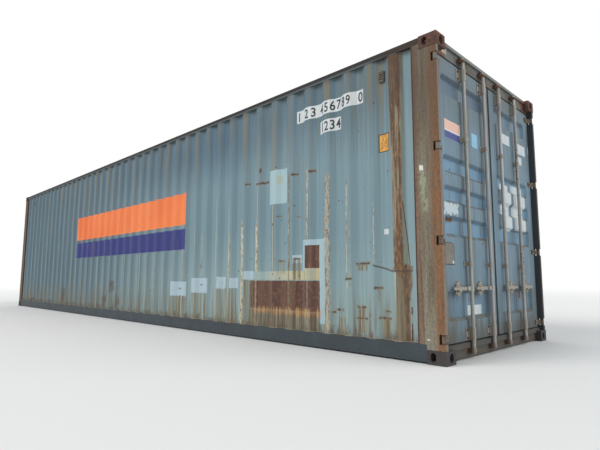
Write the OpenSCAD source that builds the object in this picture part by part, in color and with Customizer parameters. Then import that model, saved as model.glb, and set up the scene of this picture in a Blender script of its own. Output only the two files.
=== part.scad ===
// Steel dry freight shipping container, forty foot high cube, with two hinged end doors.
// Millimetres. The origin is the centre of the footprint at the height of the lower
// faces of the corner castings. +X points to the door end, +Z is up, and the left
// side is at -Y, as someone facing the doors sees it.

/* [Overall] */
// Length over the corner castings
length = 12192; // [9000:1:13700]
// Width over the corner castings
width = 2438; // [2300:1:2600]
// Height over the corner castings
height = 2896; // [2500:1:3000]

/* [Corner castings] */
// Length of a casting along the container
casting_l = 178; // [170:1:190]
// Width of a casting across the container
casting_w = 162; // [156:1:175]
// Height of a casting
casting_h = 118; // [112:1:125]
// Thickness of the pierced outer faces
casting_wall = 28.5; // [20:0.5:32]
// Thickness of the plain inner faces
casting_inner_wall = 12; // [8:0.5:16]
// Length of the top or bottom aperture
lock_hole_l = 124; // [110:0.5:126]
// Width of the top or bottom aperture
lock_hole_w = 63.5; // [50:0.5:68]
// Distance from the end face to the middle of the top or bottom aperture
lock_hole_s = 103.5; // [96:0.5:108]
// Distance from the side face to the middle of the top or bottom aperture
lock_hole_t = 89.5; // [80:0.5:95]
// Height of the side and end apertures
lash_hole_h = 79.5; // [60:0.5:82]
// Width of the side aperture
side_hole_w = 51; // [40:0.5:60]
// Distance from the end face to the middle of the side aperture
side_hole_s = 120; // [100:0.5:125]
// Width of the end aperture
end_hole_w = 66; // [50:0.5:70]
// Distance from a pierced top or bottom face to the middle of a side or end aperture
lash_hole_z = 60; // [58:0.5:64]

/* [Side walls and rails] */
// Thickness of the corrugated wall sheet
wall_sheet = 2; // [1.5:0.1:4]
// Distance from the side plane to the outer flats of the wall
wall_set = 8; // [6.5:0.5:10]
// Depth of the wall corrugations
wall_depth = 36; // [20:1:40]
// Width of an outer flat
wall_outer_flat = 72; // [40:1:110]
// Width of an inner flat
wall_inner_flat = 70; // [40:1:110]
// Width of a sloped web
wall_slope = 68; // [30:1:90]
// Run of the last partial slope next to the rear post
wall_end_run = 29; // [10:1:40]
// Distance from the side plane to the rails and posts
rail_set = 5; // [4:0.5:6]
// Lowest point of the bottom rails and sills
rail_z0 = 14; // [12:0.5:20]
// Top of the bottom side rails
rail_z1 = 162; // [156:1:175]
// Width of the bottom rail flanges
rail_flange = 40; // [30:1:41]
// Thickness of the bottom rail
rail_t = 4.5; // [3:0.5:6]
// Size of the square top side rail
top_rail = 60; // [50:1:70]
// Wall of the top side rail
top_rail_t = 3; // [2:0.5:5]
// Height of the casting faces above the rails and the roof plates
top_drop = 6; // [5:0.5:10]

/* [Posts] */
// Width of the rear post's side face
rear_post_w = 260; // [220:1:300]
// Width of the front post's side face
front_post_w = 200; // [190:1:240]
// Plate thickness of the pressed posts
post_plate = 6; // [4:0.5:7]
// Thickness of the rolled channel that carries the hinges
channel_t = 12; // [9:0.5:13]
// Length of that channel along the side
channel_l = 113; // [105:1:115]
// Distance from the side plane to the inner face of the door jamb
jamb_t = 46; // [44:1:48]
// Distance from the side plane to the inner face of the post
post_inner_t = 100; // [90:1:110]

/* [Roof] */
// Thickness of the roof sheet
roof_sheet = 2; // [1.5:0.1:4]
// Depth of the roof corrugations
roof_depth = 20; // [10:1:30]
// Width of a roof flat
roof_flat = 91; // [60:1:120]
// Run of a roof slope
roof_slope = 13.5; // [8:0.5:30]

/* [Front end] */
// Distance from the front plane to the outer flats of the front wall
front_set = 10; // [8:1:14]
// Depth of the front wall corrugations
front_depth = 45; // [30:1:46]
// Width of an outer flat of the front wall
front_outer_flat = 104; // [80:1:130]
// Width of an inner flat of the front wall
front_inner_flat = 110; // [80:1:130]
// Run of a front wall slope
front_slope = 18; // [10:1:30]
// Depth of the front header and sill
front_beam = 62; // [60:1:80]
// Height of the front header, from its lower edge to the roof plates
front_header_h = 112; // [100:1:112]
// Plate thickness of the headers and sills
beam_plate = 4; // [3:0.5:5]

/* [Floor and understructure] */
// Top of the floor boards
floor_top = 172; // [168:1:185]
// Thickness of the floor boards
floor_t = 28; // [20:1:30]
// Gap between the floor boards and the side walls
floor_side_gap = 5; // [2:1:20]
// Width of a floor board
board_w = 1164; // [600:1:1200]
// Gap between floor boards
board_gap = 2; // [1:0.5:6]
// Depth of a cross member
cross_h = 122; // [100:1:124]
// Flange width of a cross member
cross_flange = 45; // [35:1:60]
// Thickness of a cross member
cross_t = 4; // [3:0.5:6]
// Spacing of the cross members
cross_pitch = 300; // [240:1:400]
// Length of the gooseneck tunnel from the front plane
tunnel_l = 3150; // [2600:1:3500]
// Clear width of the gooseneck tunnel
tunnel_w = 1029; // [900:1:1070]
// Plate thickness of the tunnel
tunnel_t = 6; // [4:0.5:8]
// Gap at the seams between plates that are modelled as separate solids
seam = 0.3; // [0.1:0.1:0.5]

/* [Door frame] */
// Distance from the rear plane to the outer faces of the doors, header and sill
door_set = 66; // [64:0.5:70]
// Height of the door header, from its lower edge to the roof plates
header_h = 132; // [120:1:150]
// Depth of the overhanging lip of the header
header_lip = 20; // [14:1:20]
// Height of the header lip
header_lip_h = 32; // [24:1:36]
// Top of the door sill
sill_top = 146; // [136:1:148]
// Depth of the overhanging lip of the sill
sill_lip = 16; // [10:0.5:16]
// Height of the sill lip
sill_lip_h = 50; // [40:1:50]
// Distance from the rear plane to the back of the header and sill boxes
box_back = 130; // [128:1:150]

/* [Doors] */
// Thickness of a door leaf
door_t = 50; // [44:1:52]
// Clearance between the seals and the frame around them
door_clear = 6; // [5:0.5:8]
// Width of the seal at the hinge side and at the bottom
seal_w = 6; // [4:0.5:7]
// Width of the seal at the top
seal_top_w = 14; // [8:0.5:16]
// Half the open gap between the two middle seals
seal_gap = 8; // [7:0.5:10]
// Width of each middle seal
seal_mid_w = 12; // [8:0.5:14]
// Width of the door stiles
stile_w = 100; // [80:1:120]
// Height of the door's top and bottom rails
door_rail_h = 150; // [150:1:170]
// Wall of the door's frame members
door_frame_t = 3.2; // [2.5:0.1:5]
// Thickness of the pressed door panel
panel_sheet = 2; // [1.5:0.1:4]
// Depth of the recesses pressed into the panel
recess_depth = 36; // [20:1:40]
// Run of the slope around a recess
recess_slope = 34; // [20:1:36]
// Width of the flat rim of the panel beside the recesses
panel_rim = 24; // [10:1:60]
// Distance from the seals to the outer and inner faces of the leaf
seal_inset = 6; // [2:1:15]

/* [Hinges] */
// Distance from the rear plane to the hinge pins
pin_s = 28; // [26:0.5:29]
// Distance from the side plane to the hinge pins
pin_t = 22; // [21:0.5:23]
// Radius of the hinge pins
pin_r = 11; // [8:0.5:12]
// Radial running clearance of pins and bars
run_clear = 0.1; // [0.05:0.01:0.1]
// Outer radius of the hinge knuckles
knuckle_r = 18; // [16:0.5:18]
// Height of a hinge knuckle
knuckle_h = 53; // [40:1:54]
// Height of the notch cut in the post for each hinge
notch_h = 82; // [82:1:90]
// Depth of the notch along the side, from the rear plane
notch_s = 62; // [61:0.5:66]
// Thickness of a hinge blade
blade_t = 12; // [8:0.5:12]
// Length of a hinge blade from the side plane
blade_reach = 150; // [120:1:156]
// How much lower a blade is than its knuckle
blade_step = 3; // [1:1:10]

/* [Locking gear] */
// Distance from the rear plane to the axes of the locking bars
bar_s = 28; // [27.5:0.5:30]
// Radius of a locking bar
bar_r = 17; // [15:0.5:18]
// Wall of a locking bar
bar_wall = 4; // [2:0.5:6]
// Distance from the middle to the inner bars
bar_inner_y = 195; // [170:1:210]
// Distance from the middle to the outer bars
bar_outer_y = 650; // [620:1:680]
// Lower end of the bars
bar_z0 = 46; // [44:1:56]
// Length of the bar past the lower edge of the header
bar_top_run = 74; // [60:1:80]
// Reach of a cam from the bar's axis
cam_reach = 32; // [24:0.5:32]
// Height of a cam
cam_h = 30; // [20:1:34]
// Width of a cam
cam_w = 24; // [16:1:30]
// Distance from the bar's ends to the cams
cam_inset = 12; // [6:1:20]
// Radius of the cam's round base
cam_base_r = 22; // [19:0.5:22]
// Half the clear width of a keeper
keeper_half = 41; // [40:0.5:50]
// Thickness of a keeper's cheek
cheek_t = 8; // [5:0.5:10]
// Height of a keeper
keeper_h = 46; // [40:1:50]
// How far a keeper stands out of the header or sill
keeper_out = 40; // [30:1:42]
// Height of the handles
handle_z = 625; // [500:1:700]
// Length of a handle from the bar's axis
handle_l = 320; // [260:1:340]
// Depth of the flat handle bar
handle_h = 32; // [24:1:40]
// Thickness of the flat handle bar
handle_t = 12; // [8:0.5:12]
// Distance from the bar's axis to the handle's pivot
pivot_run = 45; // [42:1:60]
// Radius of the handle's pivot pin
pivot_r = 6; // [4:0.5:8]
// Distance from the bar's axis to the handle retainer
retainer_run = 195; // [150:1:230]
// Outer radius of the collars that guide the bars
collar_r = 23; // [21:0.5:23]
// Thickness of the plates that carry the collars
collar_plate = 6; // [4:0.5:8]
// Height of the long collars at the ends of the bars
end_collar_h = 110; // [80:1:130]
// Length of the long collars' plates towards the hinges
end_plate_l = 74; // [50:1:90]
// Height of the short collars between them
guide_h = 40; // [30:1:60]
// Length of the short collars' plates towards the hinges
guide_plate_l = 60; // [40:1:80]
// Wall of the rings and of the handle's hub around a bar
ring_wall = 5; // [3:0.5:8]
// Height of the hub that carries the handle
hub_h = 56; // [44:1:70]
// Thickness of the ear on that hub
ear_t = 8; // [5:0.5:9]
// Half the height of the ear
ear_half = 20; // [14:1:22]
// Length of an arm of the star shaped plate behind a handle
star_l = 130; // [100:1:150]
// Width of such an arm
star_w = 34; // [20:1:44]
// Thickness of that plate
star_t = 8; // [5:0.5:9]
// Half the width of the shelf that a handle rests on
shelf_half = 22; // [15:1:30]
// Thickness of the shelf
shelf_h = 10; // [6:1:14]
// Gap between the shelf and the handle
shelf_gap = 1; // [0.5:0.5:3]

/* [Ventilators] */
// Width of a ventilator cover
vent_w = 58; // [40:1:60]
// Height of a ventilator cover
vent_h = 110; // [80:1:160]
// Distance from the ventilator's top to the top of the castings
vent_drop = 181; // [140:1:260]
// Height of a louvre slot and of the rim around the slots
louvre_h = 8; // [4:1:10]
// Spacing of the louvre slots
louvre_pitch = 24; // [14:1:34]

/* [Hidden] */
$fn = 48;
end_x = length / 2;
side_y = width / 2;
plate_z = height - top_drop;
post_z0 = casting_h;
post_z1 = height - casting_h;
top_rail_z0 = plate_z - top_rail;
wall_pitch = wall_outer_flat + wall_inner_flat + 2 * wall_slope;
roof_pitch = 2 * roof_flat + 2 * roof_slope;
floor_z0 = floor_top - floor_t;
tunnel_top = floor_z0 - tunnel_t;
front_beam_back = rail_set + front_beam;
stop_s = box_back - beam_plate;
header_z0 = plate_z - header_h;
door_z0 = sill_top + door_clear + seal_w;
door_z1 = header_z0 - door_clear - seal_top_w;
door_h = door_z1 - door_z0;
door_edge_t = jamb_t + door_clear + seal_w;
door_mid_y = seal_gap + seal_mid_w;
door_back = door_set + door_t;
hinge_z = [for (f = [0.0208, 0.3395, 0.6577, 0.9730]) door_z0 + f * door_h];
recess_z = [for (f = [[0.0705, 0.1752], [0.3593, 0.4329], [0.4775, 0.5395], [0.5841, 0.6481], [0.8690, 0.9465]])
            [door_z0 + f[0] * door_h, door_z0 + f[1] * door_h]];
collar_z = [for (f = [0.2682, 0.7236]) door_z0 + f * door_h];
ring_z = door_z0 + 0.4942 * door_h;
bar_z1 = header_z0 + bar_top_run;
bar_ys = [-bar_outer_y, -bar_inner_y, bar_inner_y, bar_outer_y];
cam_z_low = bar_z0 + cam_inset;
cam_z_high = bar_z1 - cam_inset - cam_h;
ear_s = bar_s - 2;
handle_s = ear_s + ear_t + 2;
head_t = 4;
eps = 0.5;

paint = "#7d929b";
rust = "#6b4a36";
galvanised = "#a9a6a0";
rubber = "#26282a";
timber = "#7a5a3c";
steel_dark = "#4a4f52";

// Places a child drawn in corner coordinates: s runs in from the rear plane,
// t runs in from the left side plane, and z is the real height
module rear_left() {
    translate([end_x, -side_y, 0]) mirror([1, 0, 0]) children();
}

module rear_right() {
    mirror([0, 1, 0]) rear_left() children();
}

module front_left() {
    mirror([1, 0, 0]) rear_left() children();
}

module front_right() {
    mirror([0, 1, 0]) front_left() children();
}

// Rectangle between two corners
module box2d(a0, b0, a1, b1) {
    translate([a0, b0]) square([a1 - a0, b1 - b0]);
}

// Box between two corners
module box3d(low, high) {
    translate(low) cube([high[0] - low[0], high[1] - low[1], high[2] - low[2]]);
}

// Slot with round ends: w is the smaller size, l the larger
module slot2d(l, w) {
    square([l - w, w], center = true);
    for (side = [-1, 1]) translate([side * (l - w) / 2, 0]) circle(d = w);
}

// Section drawn in s and z, run across the container between two values of t
module across(t0, t1) {
    translate([0, t1, 0]) rotate([90, 0, 0]) linear_extrude(t1 - t0) children();
}

// One corner casting, pierced face down, in corner coordinates
module casting() {
    difference() {
        cube([casting_l, casting_w, casting_h]);
        box3d([casting_wall, casting_wall, casting_wall],
              [casting_l - casting_inner_wall, casting_w - casting_inner_wall,
               casting_h - casting_inner_wall]);
        translate([lock_hole_s, lock_hole_t, -1])
            linear_extrude(casting_wall + 2) slot2d(lock_hole_l, lock_hole_w);
        translate([side_hole_s, -1, lash_hole_z]) rotate([-90, 0, 0])
            linear_extrude(casting_wall + 2) rotate(90) slot2d(lash_hole_h, side_hole_w);
        translate([-1, lock_hole_t, lash_hole_z]) rotate([0, 90, 0])
            linear_extrude(casting_wall + 2) slot2d(lash_hole_h, end_hole_w);
    }
}

module four_corners() {
    rear_left() children();
    rear_right() children();
    front_left() children();
    front_right() children();
}

module bottom_castings() {
    color(rust) four_corners() casting();
}

module top_castings() {
    color(rust) four_corners() translate([0, 0, height]) mirror([0, 0, 1]) casting();
}

// Section of the rear post in s and t: the hinge channel, the jamb and the door stop
module rear_post_section() {
    front_s = rail_set + channel_l;
    box2d(rail_set, rail_set, front_s, rail_set + channel_t);
    box2d(rail_set, rail_set, rail_set + channel_t, jamb_t);
    box2d(front_s - channel_t, rail_set, front_s, jamb_t);
    box2d(rail_set, jamb_t - post_plate, stop_s + post_plate, jamb_t);
    box2d(stop_s, jamb_t - post_plate, stop_s + post_plate, post_inner_t);
    box2d(stop_s, post_inner_t - post_plate, casting_l, post_inner_t);
    box2d(casting_l - post_plate, rail_set, casting_l, post_inner_t);
    box2d(front_s, rail_set, casting_l, rail_set + post_plate);
}

// Side plate of a post beyond the castings, with a lip that closes the end of the wall
module post_flange(post_w) {
    lip_t = wall_set + wall_depth + wall_sheet;
    translate([0, 0, rail_z1]) linear_extrude(top_rail_z0 - rail_z1) {
        box2d(casting_l, rail_set, post_w, rail_set + post_plate);
        box2d(post_w - post_plate, rail_set, post_w, lip_t);
    }
    translate([0, 0, rail_z1]) linear_extrude(post_z1 - rail_z1)
        box2d(casting_l - post_plate, rail_set, casting_l + post_plate, rail_set + post_plate);
}

module rear_post() {
    difference() {
        translate([0, 0, post_z0]) linear_extrude(post_z1 - post_z0) rear_post_section();
        for (z = hinge_z) {
            box3d([-1, -1, z - notch_h / 2], [notch_s, jamb_t - post_plate - eps, z + notch_h / 2]);
            box3d([-1, channel_t + rail_set, z - notch_h / 2], [door_set + 10, jamb_t + 1, z + notch_h / 2]);
        }
    }
    post_flange(rear_post_w);
}

module rear_post_left() {
    color(rust) rear_left() rear_post();
}

module rear_post_right() {
    color(rust) rear_right() rear_post();
}

module front_post() {
    translate([0, 0, post_z0]) linear_extrude(post_z1 - post_z0) difference() {
        box2d(rail_set, rail_set, casting_l, post_inner_t);
        box2d(rail_set + post_plate, rail_set + post_plate,
              casting_l - post_plate, post_inner_t - post_plate);
    }
    post_flange(front_post_w);
}

module front_post_left() {
    color(rust) front_left() front_post();
}

module front_post_right() {
    color(rust) front_right() front_post();
}

// Channel rail with its web outside, open inwards, on the left side
module bottom_rail() {
    rail_l = length - 2 * casting_l;
    translate([-rail_l / 2, -side_y, 0]) rotate([90, 0, 90]) linear_extrude(rail_l) {
        box2d(rail_set, rail_z0, rail_set + rail_t, rail_z1);
        box2d(rail_set, rail_z0, rail_set + rail_flange, rail_z0 + rail_t);
        box2d(rail_set, rail_z1 - rail_t, rail_set + rail_flange, rail_z1);
    }
}

module bottom_rail_left() {
    color(steel_dark) bottom_rail();
}

module bottom_rail_right() {
    color(steel_dark) mirror([0, 1, 0]) bottom_rail();
}

// Square tube rail along the top of the left side
module top_rail_tube() {
    rail_l = length - 2 * casting_l;
    translate([-rail_l / 2, -side_y, 0]) rotate([90, 0, 90]) linear_extrude(rail_l) difference() {
        box2d(rail_set, top_rail_z0, rail_set + top_rail, plate_z);
        box2d(rail_set + top_rail_t, top_rail_z0 + top_rail_t,
              rail_set + top_rail - top_rail_t, plate_z - top_rail_t);
    }
}

module top_rail_left() {
    color(steel_dark) top_rail_tube();
}

module top_rail_right() {
    color(steel_dark) mirror([0, 1, 0]) top_rail_tube();
}

// Share of the corrugation depth at a distance u along a run that starts at the
// beginning of an outer flat: 0 on an outer flat and 1 on an inner flat
function fold(u, outer, slope, inner) =
    let (pitch = outer + inner + 2 * slope, v = u - pitch * floor(u / pitch))
    v <= outer ? 0 :
    v < outer + slope ? (v - outer) / slope :
    v <= outer + slope + inner ? 1 : 1 - (v - outer - slope - inner) / slope;

// Folded sheet line from u0 to u1 as points of distance and depth
function fold_line(u0, u1, outer, slope, inner, depth) =
    let (pitch = outer + inner + 2 * slope,
         corners = [0, outer, outer + slope, outer + slope + inner],
         kinks = [for (k = [floor(u0 / pitch) : floor(u1 / pitch)]) for (c = corners)
                  if (k * pitch + c > u0 + eps && k * pitch + c < u1 - eps) k * pitch + c])
    [for (u = concat([u0], kinks, [u1])) [u, depth * fold(u, outer, slope, inner)]];

// Closed outline of a folded sheet: the line and the same line moved by its thickness
function sheet_outline(line, thick) =
    concat(line, [for (i = [len(line) - 1 : -1 : 0]) line[i] + [0, thick]]);

// Corrugated wall of the left side. Distances run forward from the rear post, where the
// sheet begins in the slope before an inner flat.
module side_wall() {
    run = length - rear_post_w - front_post_w;
    start = wall_outer_flat + wall_slope - wall_end_run;
    line = fold_line(start, start + run, wall_outer_flat, wall_slope, wall_inner_flat, wall_depth);
    translate([end_x - rear_post_w, -side_y + wall_set, rail_z1]) mirror([1, 0, 0])
        translate([-start, 0, 0]) linear_extrude(top_rail_z0 - rail_z1)
            polygon(sheet_outline(line, wall_sheet));
}

module side_wall_left() {
    color(paint) side_wall();
}

module side_wall_right() {
    color(paint) mirror([0, 1, 0]) side_wall();
}

module front_wall() {
    half = side_y - post_inner_t;
    start = -half + front_outer_flat / 2;
    line = fold_line(start, start + 2 * half, front_outer_flat, front_slope, front_inner_flat, front_depth);
    color(paint) translate([-end_x + front_set, -half, rail_z1]) mirror([1, 0, 0])
        rotate([0, 0, 90]) translate([-start, 0, 0])
            linear_extrude(plate_z - front_header_h - rail_z1)
                polygon(sheet_outline(line, wall_sheet));
}

module front_header() {
    color(paint) front_left()
        across(casting_w, width - casting_w) {
            difference() {
                box2d(rail_set, plate_z - front_header_h, front_beam_back, plate_z);
                box2d(rail_set + beam_plate, plate_z - front_header_h + beam_plate,
                      front_beam_back - beam_plate, plate_z - beam_plate);
            }
            box2d(front_beam_back - beam_plate, plate_z - beam_plate, casting_l, plate_z);
        }
}

// A solid bar over the mouth of the tunnel and two box beams under it, beside the mouth
module front_sill() {
    mouth_t = side_y - tunnel_w / 2;
    high = tunnel_top - seam;
    color(paint) front_left() {
        across(post_inner_t, width - post_inner_t)
            box2d(rail_set, tunnel_top, front_beam_back, rail_z1);
        for (t = [[casting_w, mouth_t], [width - mouth_t, width - casting_w]])
            across(t[0], t[1]) difference() {
                box2d(rail_set, rail_z0, front_beam_back, high);
                box2d(rail_set + beam_plate, rail_z0 + beam_plate,
                      front_beam_back - beam_plate, high - beam_plate);
            }
    }
}

module roof() {
    run = length - 2 * casting_l;
    start = (roof_flat - run) / 2 + roof_pitch * ceil(run / roof_pitch);
    line = [for (p = fold_line(start, start + run, roof_flat, roof_slope, roof_flat, roof_depth)) [p[0], -p[1]]];
    half = side_y - rail_set - top_rail;
    color(paint) translate([-run / 2 - start, half, plate_z - beam_plate]) rotate([90, 0, 0])
        linear_extrude(2 * half) polygon(sheet_outline(line, roof_sheet));
}

// Floor boards between the side walls, cut back around the posts
module floor_boards() {
    half = side_y - wall_set - wall_depth - wall_sheet - floor_side_gap;
    post_gap = 2;
    x0 = -end_x + front_beam_back;
    x1 = end_x - box_back;
    rows = ceil((x1 - x0) / (2 * board_w));
    step = (x1 - x0 + board_gap) / rows;
    difference() {
        for (row = [0 : rows - 1]) for (side = [0, 1])
            box3d([x0 + row * step, side == 0 ? -half : board_gap / 2, floor_z0],
                  [x0 + (row + 1) * step - board_gap, side == 0 ? -board_gap / 2 : half, floor_top]);
        for (end = [-1, 1]) for (side = [-1, 1])
            translate([end * end_x, side * side_y, floor_top])
                cube([2 * (casting_l + post_gap), 2 * (post_inner_t + post_gap), 3 * floor_t], center = true);
    }
}

module floor_deck() {
    color(timber) floor_boards();
}

// Channel across the container with its web upright, from y0 to y1
module cross_channel(x, y0, y1) {
    translate([x, y1, floor_z0 - cross_h]) rotate([90, 0, 0]) linear_extrude(y1 - y0) {
        box2d(0, 0, cross_t, cross_h);
        box2d(0, 0, cross_flange, cross_t);
        box2d(0, cross_h - cross_t, cross_flange, cross_h);
    }
}

module cross_members() {
    web_y = side_y - rail_set - rail_t;
    end_gap = 25;
    x0 = -end_x + casting_l + end_gap;
    x1 = end_x - casting_l - cross_flange - end_gap;
    tunnel_x1 = -end_x + tunnel_l;
    tunnel_y = tunnel_w / 2 + tunnel_t;
    count = ceil((x1 - x0) / cross_pitch);
    step = (x1 - x0) / count;
    color(steel_dark) for (i = [0 : count]) {
        x = x0 + i * step;
        if (x > tunnel_x1 + eps)
            cross_channel(x, -web_y, web_y);
        else if (x + cross_flange < tunnel_x1 - tunnel_t) {
            cross_channel(x, -web_y, -tunnel_y);
            cross_channel(x, tunnel_y, web_y);
        }
    }
}

// Roof plate, two side plates and an end plate over the space for a chassis' gooseneck
module gooseneck_tunnel() {
    half = tunnel_w / 2;
    x0 = -end_x + front_beam_back;
    x1 = -end_x + tunnel_l;
    low = floor_z0 - cross_h;
    high = tunnel_top - seam;
    color(steel_dark) {
        box3d([x0, -half - tunnel_t, tunnel_top], [x1, half + tunnel_t, floor_z0]);
        for (y = [-half - tunnel_t, half]) box3d([x0, y, low], [x1, y + tunnel_t, high]);
        box3d([x1 - tunnel_t, -half + seam, low], [x1, half - seam, high]);
    }
}

// Low cover over a ventilation hole, with louvre slots
module vent_cover() {
    depth = wall_depth / 2;
    difference() {
        translate([-vent_w / 2, -depth, -vent_h / 2]) cube([vent_w, depth, vent_h]);
        for (k = [-1 : 1])
            translate([0, -depth, k * louvre_pitch])
                cube([vent_w - 2 * louvre_h, depth, louvre_h], center = true);
    }
}

// Covers on inner flats near both ends of both side walls
module ventilators() {
    flat_x = end_x - rear_post_w - wall_end_run - wall_inner_flat / 2;
    flat_y = -side_y + wall_set + wall_depth;
    mid_z = height - vent_drop - vent_h / 2;
    bays = floor((length - rear_post_w - front_post_w - wall_pitch) / wall_pitch);
    color(steel_dark) for (x = [flat_x - wall_pitch, flat_x - (bays - 1) * wall_pitch]) {
        translate([x, flat_y, mid_z]) vent_cover();
        mirror([0, 1, 0]) translate([x, flat_y, mid_z]) vent_cover();
    }
}

module door_header() {
    lip_s = door_set - header_lip;
    color(paint) rear_left() {
        across(casting_w, width - casting_w) {
            difference() {
                box2d(door_set, header_z0, box_back, plate_z);
                box2d(door_set + beam_plate, header_z0 + beam_plate,
                      box_back - beam_plate, plate_z - beam_plate);
            }
            difference() {
                box2d(lip_s, plate_z - header_lip_h, door_set + beam_plate, plate_z);
                box2d(lip_s + beam_plate, plate_z - header_lip_h + beam_plate,
                      door_set, plate_z - beam_plate);
            }
            box2d(box_back - beam_plate, plate_z - beam_plate, casting_l, plate_z);
        }
        across(jamb_t, casting_w + eps) box2d(door_set, header_z0, box_back - beam_plate, post_z1);
        across(width - casting_w - eps, width - jamb_t)
            box2d(door_set, header_z0, box_back - beam_plate, post_z1);
    }
}

module door_sill() {
    lip_s = door_set - sill_lip;
    lip_z = sill_top - sill_lip_h;
    color(paint) rear_left() {
        across(casting_w, width - casting_w) {
            difference() {
                box2d(door_set, rail_z0, box_back, sill_top);
                box2d(door_set + beam_plate, rail_z0 + beam_plate,
                      box_back - beam_plate, sill_top - beam_plate);
            }
            difference() {
                box2d(lip_s, lip_z, door_set + beam_plate, sill_top);
                box2d(lip_s + beam_plate, lip_z + beam_plate, door_set, sill_top - beam_plate);
            }
            box2d(box_back - beam_plate, sill_top - beam_plate, box_back, floor_top);
        }
        for (t = [[jamb_t, casting_w + eps], [width - casting_w - eps, width - jamb_t]])
            across(t[0], t[1]) box2d(lip_s, casting_h, box_back - beam_plate, sill_top);
    }
}

// Two cheeks that hold a cam sideways, welded to the header or sill
module keeper(y, z) {
    for (side = [-1, 1])
        translate([end_x - door_set, y + side * (keeper_half + cheek_t / 2) - cheek_t / 2, z])
            cube([keeper_out, cheek_t, keeper_h]);
}

module header_keepers() {
    color(rust) for (y = bar_ys) keeper(y, cam_z_high + cam_h / 2 - keeper_h / 2);
}

module sill_keepers() {
    color(rust) for (y = bar_ys) keeper(y, sill_top - sill_lip_h - keeper_h);
}

// Two plates above and below each knuckle, joined by the fixed pin
module hinge_lug(z) {
    lug_h = (notch_h - knuckle_h) / 2 - eps;
    for (side = [-1, 1]) translate([0, 0, z + side * (notch_h - lug_h) / 2])
        linear_extrude(lug_h, center = true) {
            translate([pin_s, pin_t]) circle(r = knuckle_r);
            box2d(pin_s - knuckle_r, pin_t, pin_s + knuckle_r, jamb_t - post_plate - eps);
        }
    translate([pin_s, pin_t, z]) cylinder(r = pin_r, h = notch_h, center = true);
}

module hinge_lugs() {
    color(rust) {
        rear_left() for (z = hinge_z) hinge_lug(z);
        rear_right() for (z = hinge_z) hinge_lug(z);
    }
}

// Ring of open backed channels around a leaf, in corner coordinates
module door_frame() {
    t0 = door_edge_t;
    t1 = side_y - door_mid_y;
    wall = door_frame_t;
    difference() {
        box3d([door_set, t0, door_z0], [door_back, t1, door_z1]);
        box3d([door_set - 1, t0 + stile_w, door_z0 + door_rail_h],
              [door_back + 1, t1 - stile_w, door_z1 - door_rail_h]);
        difference() {
            box3d([door_set + wall, t0 + wall, door_z0 + wall], [door_back + 1, t1 - wall, door_z1 - wall]);
            box3d([door_set - 1, t0 + stile_w - wall, door_z0 + door_rail_h - wall],
                  [door_back + 2, t1 - stile_w + wall, door_z1 - door_rail_h + wall]);
        }
    }
}

// Recess with sloped ends and sides, at its mouth from t0 to t1 and z0 to z1
module recess(t0, t1, z0, z1, depth, slope) {
    intersection() {
        translate([0, t1 + 1, 0]) rotate([90, 0, 0]) linear_extrude(t1 - t0 + 2)
            polygon([[0, z0], [depth, z0 + slope], [depth, z1 - slope], [0, z1]]);
        translate([0, 0, z0 - 1]) linear_extrude(z1 - z0 + 2)
            polygon([[0, t0], [depth, t0 + slope], [depth, t1 - slope], [0, t1]]);
    }
}

module door_panel() {
    t0 = door_edge_t + stile_w;
    t1 = side_y - door_mid_y - stile_w;
    z0 = door_z0 + door_rail_h;
    z1 = door_z1 - door_rail_h;
    spread = panel_sheet * recess_slope / recess_depth;
    translate([door_set, 0, 0]) difference() {
        union() {
            box3d([0, t0, z0], [panel_sheet, t1, z1]);
            for (z = recess_z)
                recess(t0 + panel_rim - spread, t1 - panel_rim + spread, z[0] - spread, min(z1, z[1] + spread),
                       recess_depth + panel_sheet, recess_slope);
        }
        for (z = recess_z)
            translate([-eps, 0, 0])
                recess(t0 + panel_rim, t1 - panel_rim, z[0], min(z1 - spread, z[1]),
                       recess_depth + eps, recess_slope);
    }
}

// Rubber seal around the edge of a leaf
module door_seal() {
    t0 = door_edge_t;
    t1 = side_y - door_mid_y;
    depth = [door_set + seal_inset, door_back - seal_inset];
    difference() {
        box3d([depth[0], t0 - seal_w, door_z0 - seal_w], [depth[1], t1 + seal_mid_w, door_z1 + seal_top_w]);
        box3d([depth[0] - 1, t0, door_z0], [depth[1] + 1, t1, door_z1]);
    }
}

// Knuckle and cranked arm that is bolted to the face of the leaf
module hinge_blade(z) {
    blade_s = door_set - blade_t;
    crank = 6;
    difference() {
        union() {
            translate([pin_s, pin_t, z]) cylinder(r = knuckle_r, h = knuckle_h, center = true);
            translate([0, 0, z]) linear_extrude(knuckle_h - blade_step, center = true)
                polygon([[pin_s + crank, pin_t], [pin_s + crank, jamb_t], [blade_s, door_edge_t + crank],
                         [blade_s, blade_reach], [door_set, blade_reach], [door_set, door_edge_t],
                         [pin_s + knuckle_r, pin_t]]);
        }
        translate([pin_s, pin_t, z]) cylinder(r = pin_r + run_clear, h = knuckle_h + 2, center = true);
    }
}

module hinge_blades() {
    for (z = hinge_z) hinge_blade(z);
}

// Guide for a bar: a plate on the leaf, a web and a bored collar
module bar_collar(t, z, tall, plate_l) {
    plate_s = door_set - collar_plate;
    web_w = 2 * collar_r - 10;
    difference() {
        union() {
            translate([bar_s, t, z]) cylinder(r = collar_r, h = tall, center = true);
            translate([(bar_s + plate_s) / 2, t, z])
                cube([plate_s - bar_s, web_w, tall], center = true);
            box3d([plate_s, t - plate_l, z - tall / 2], [door_set, t + collar_r, z + tall / 2]);
        }
        translate([bar_s, t, z]) cylinder(r = bar_r + run_clear, h = tall + 2, center = true);
    }
}

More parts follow.
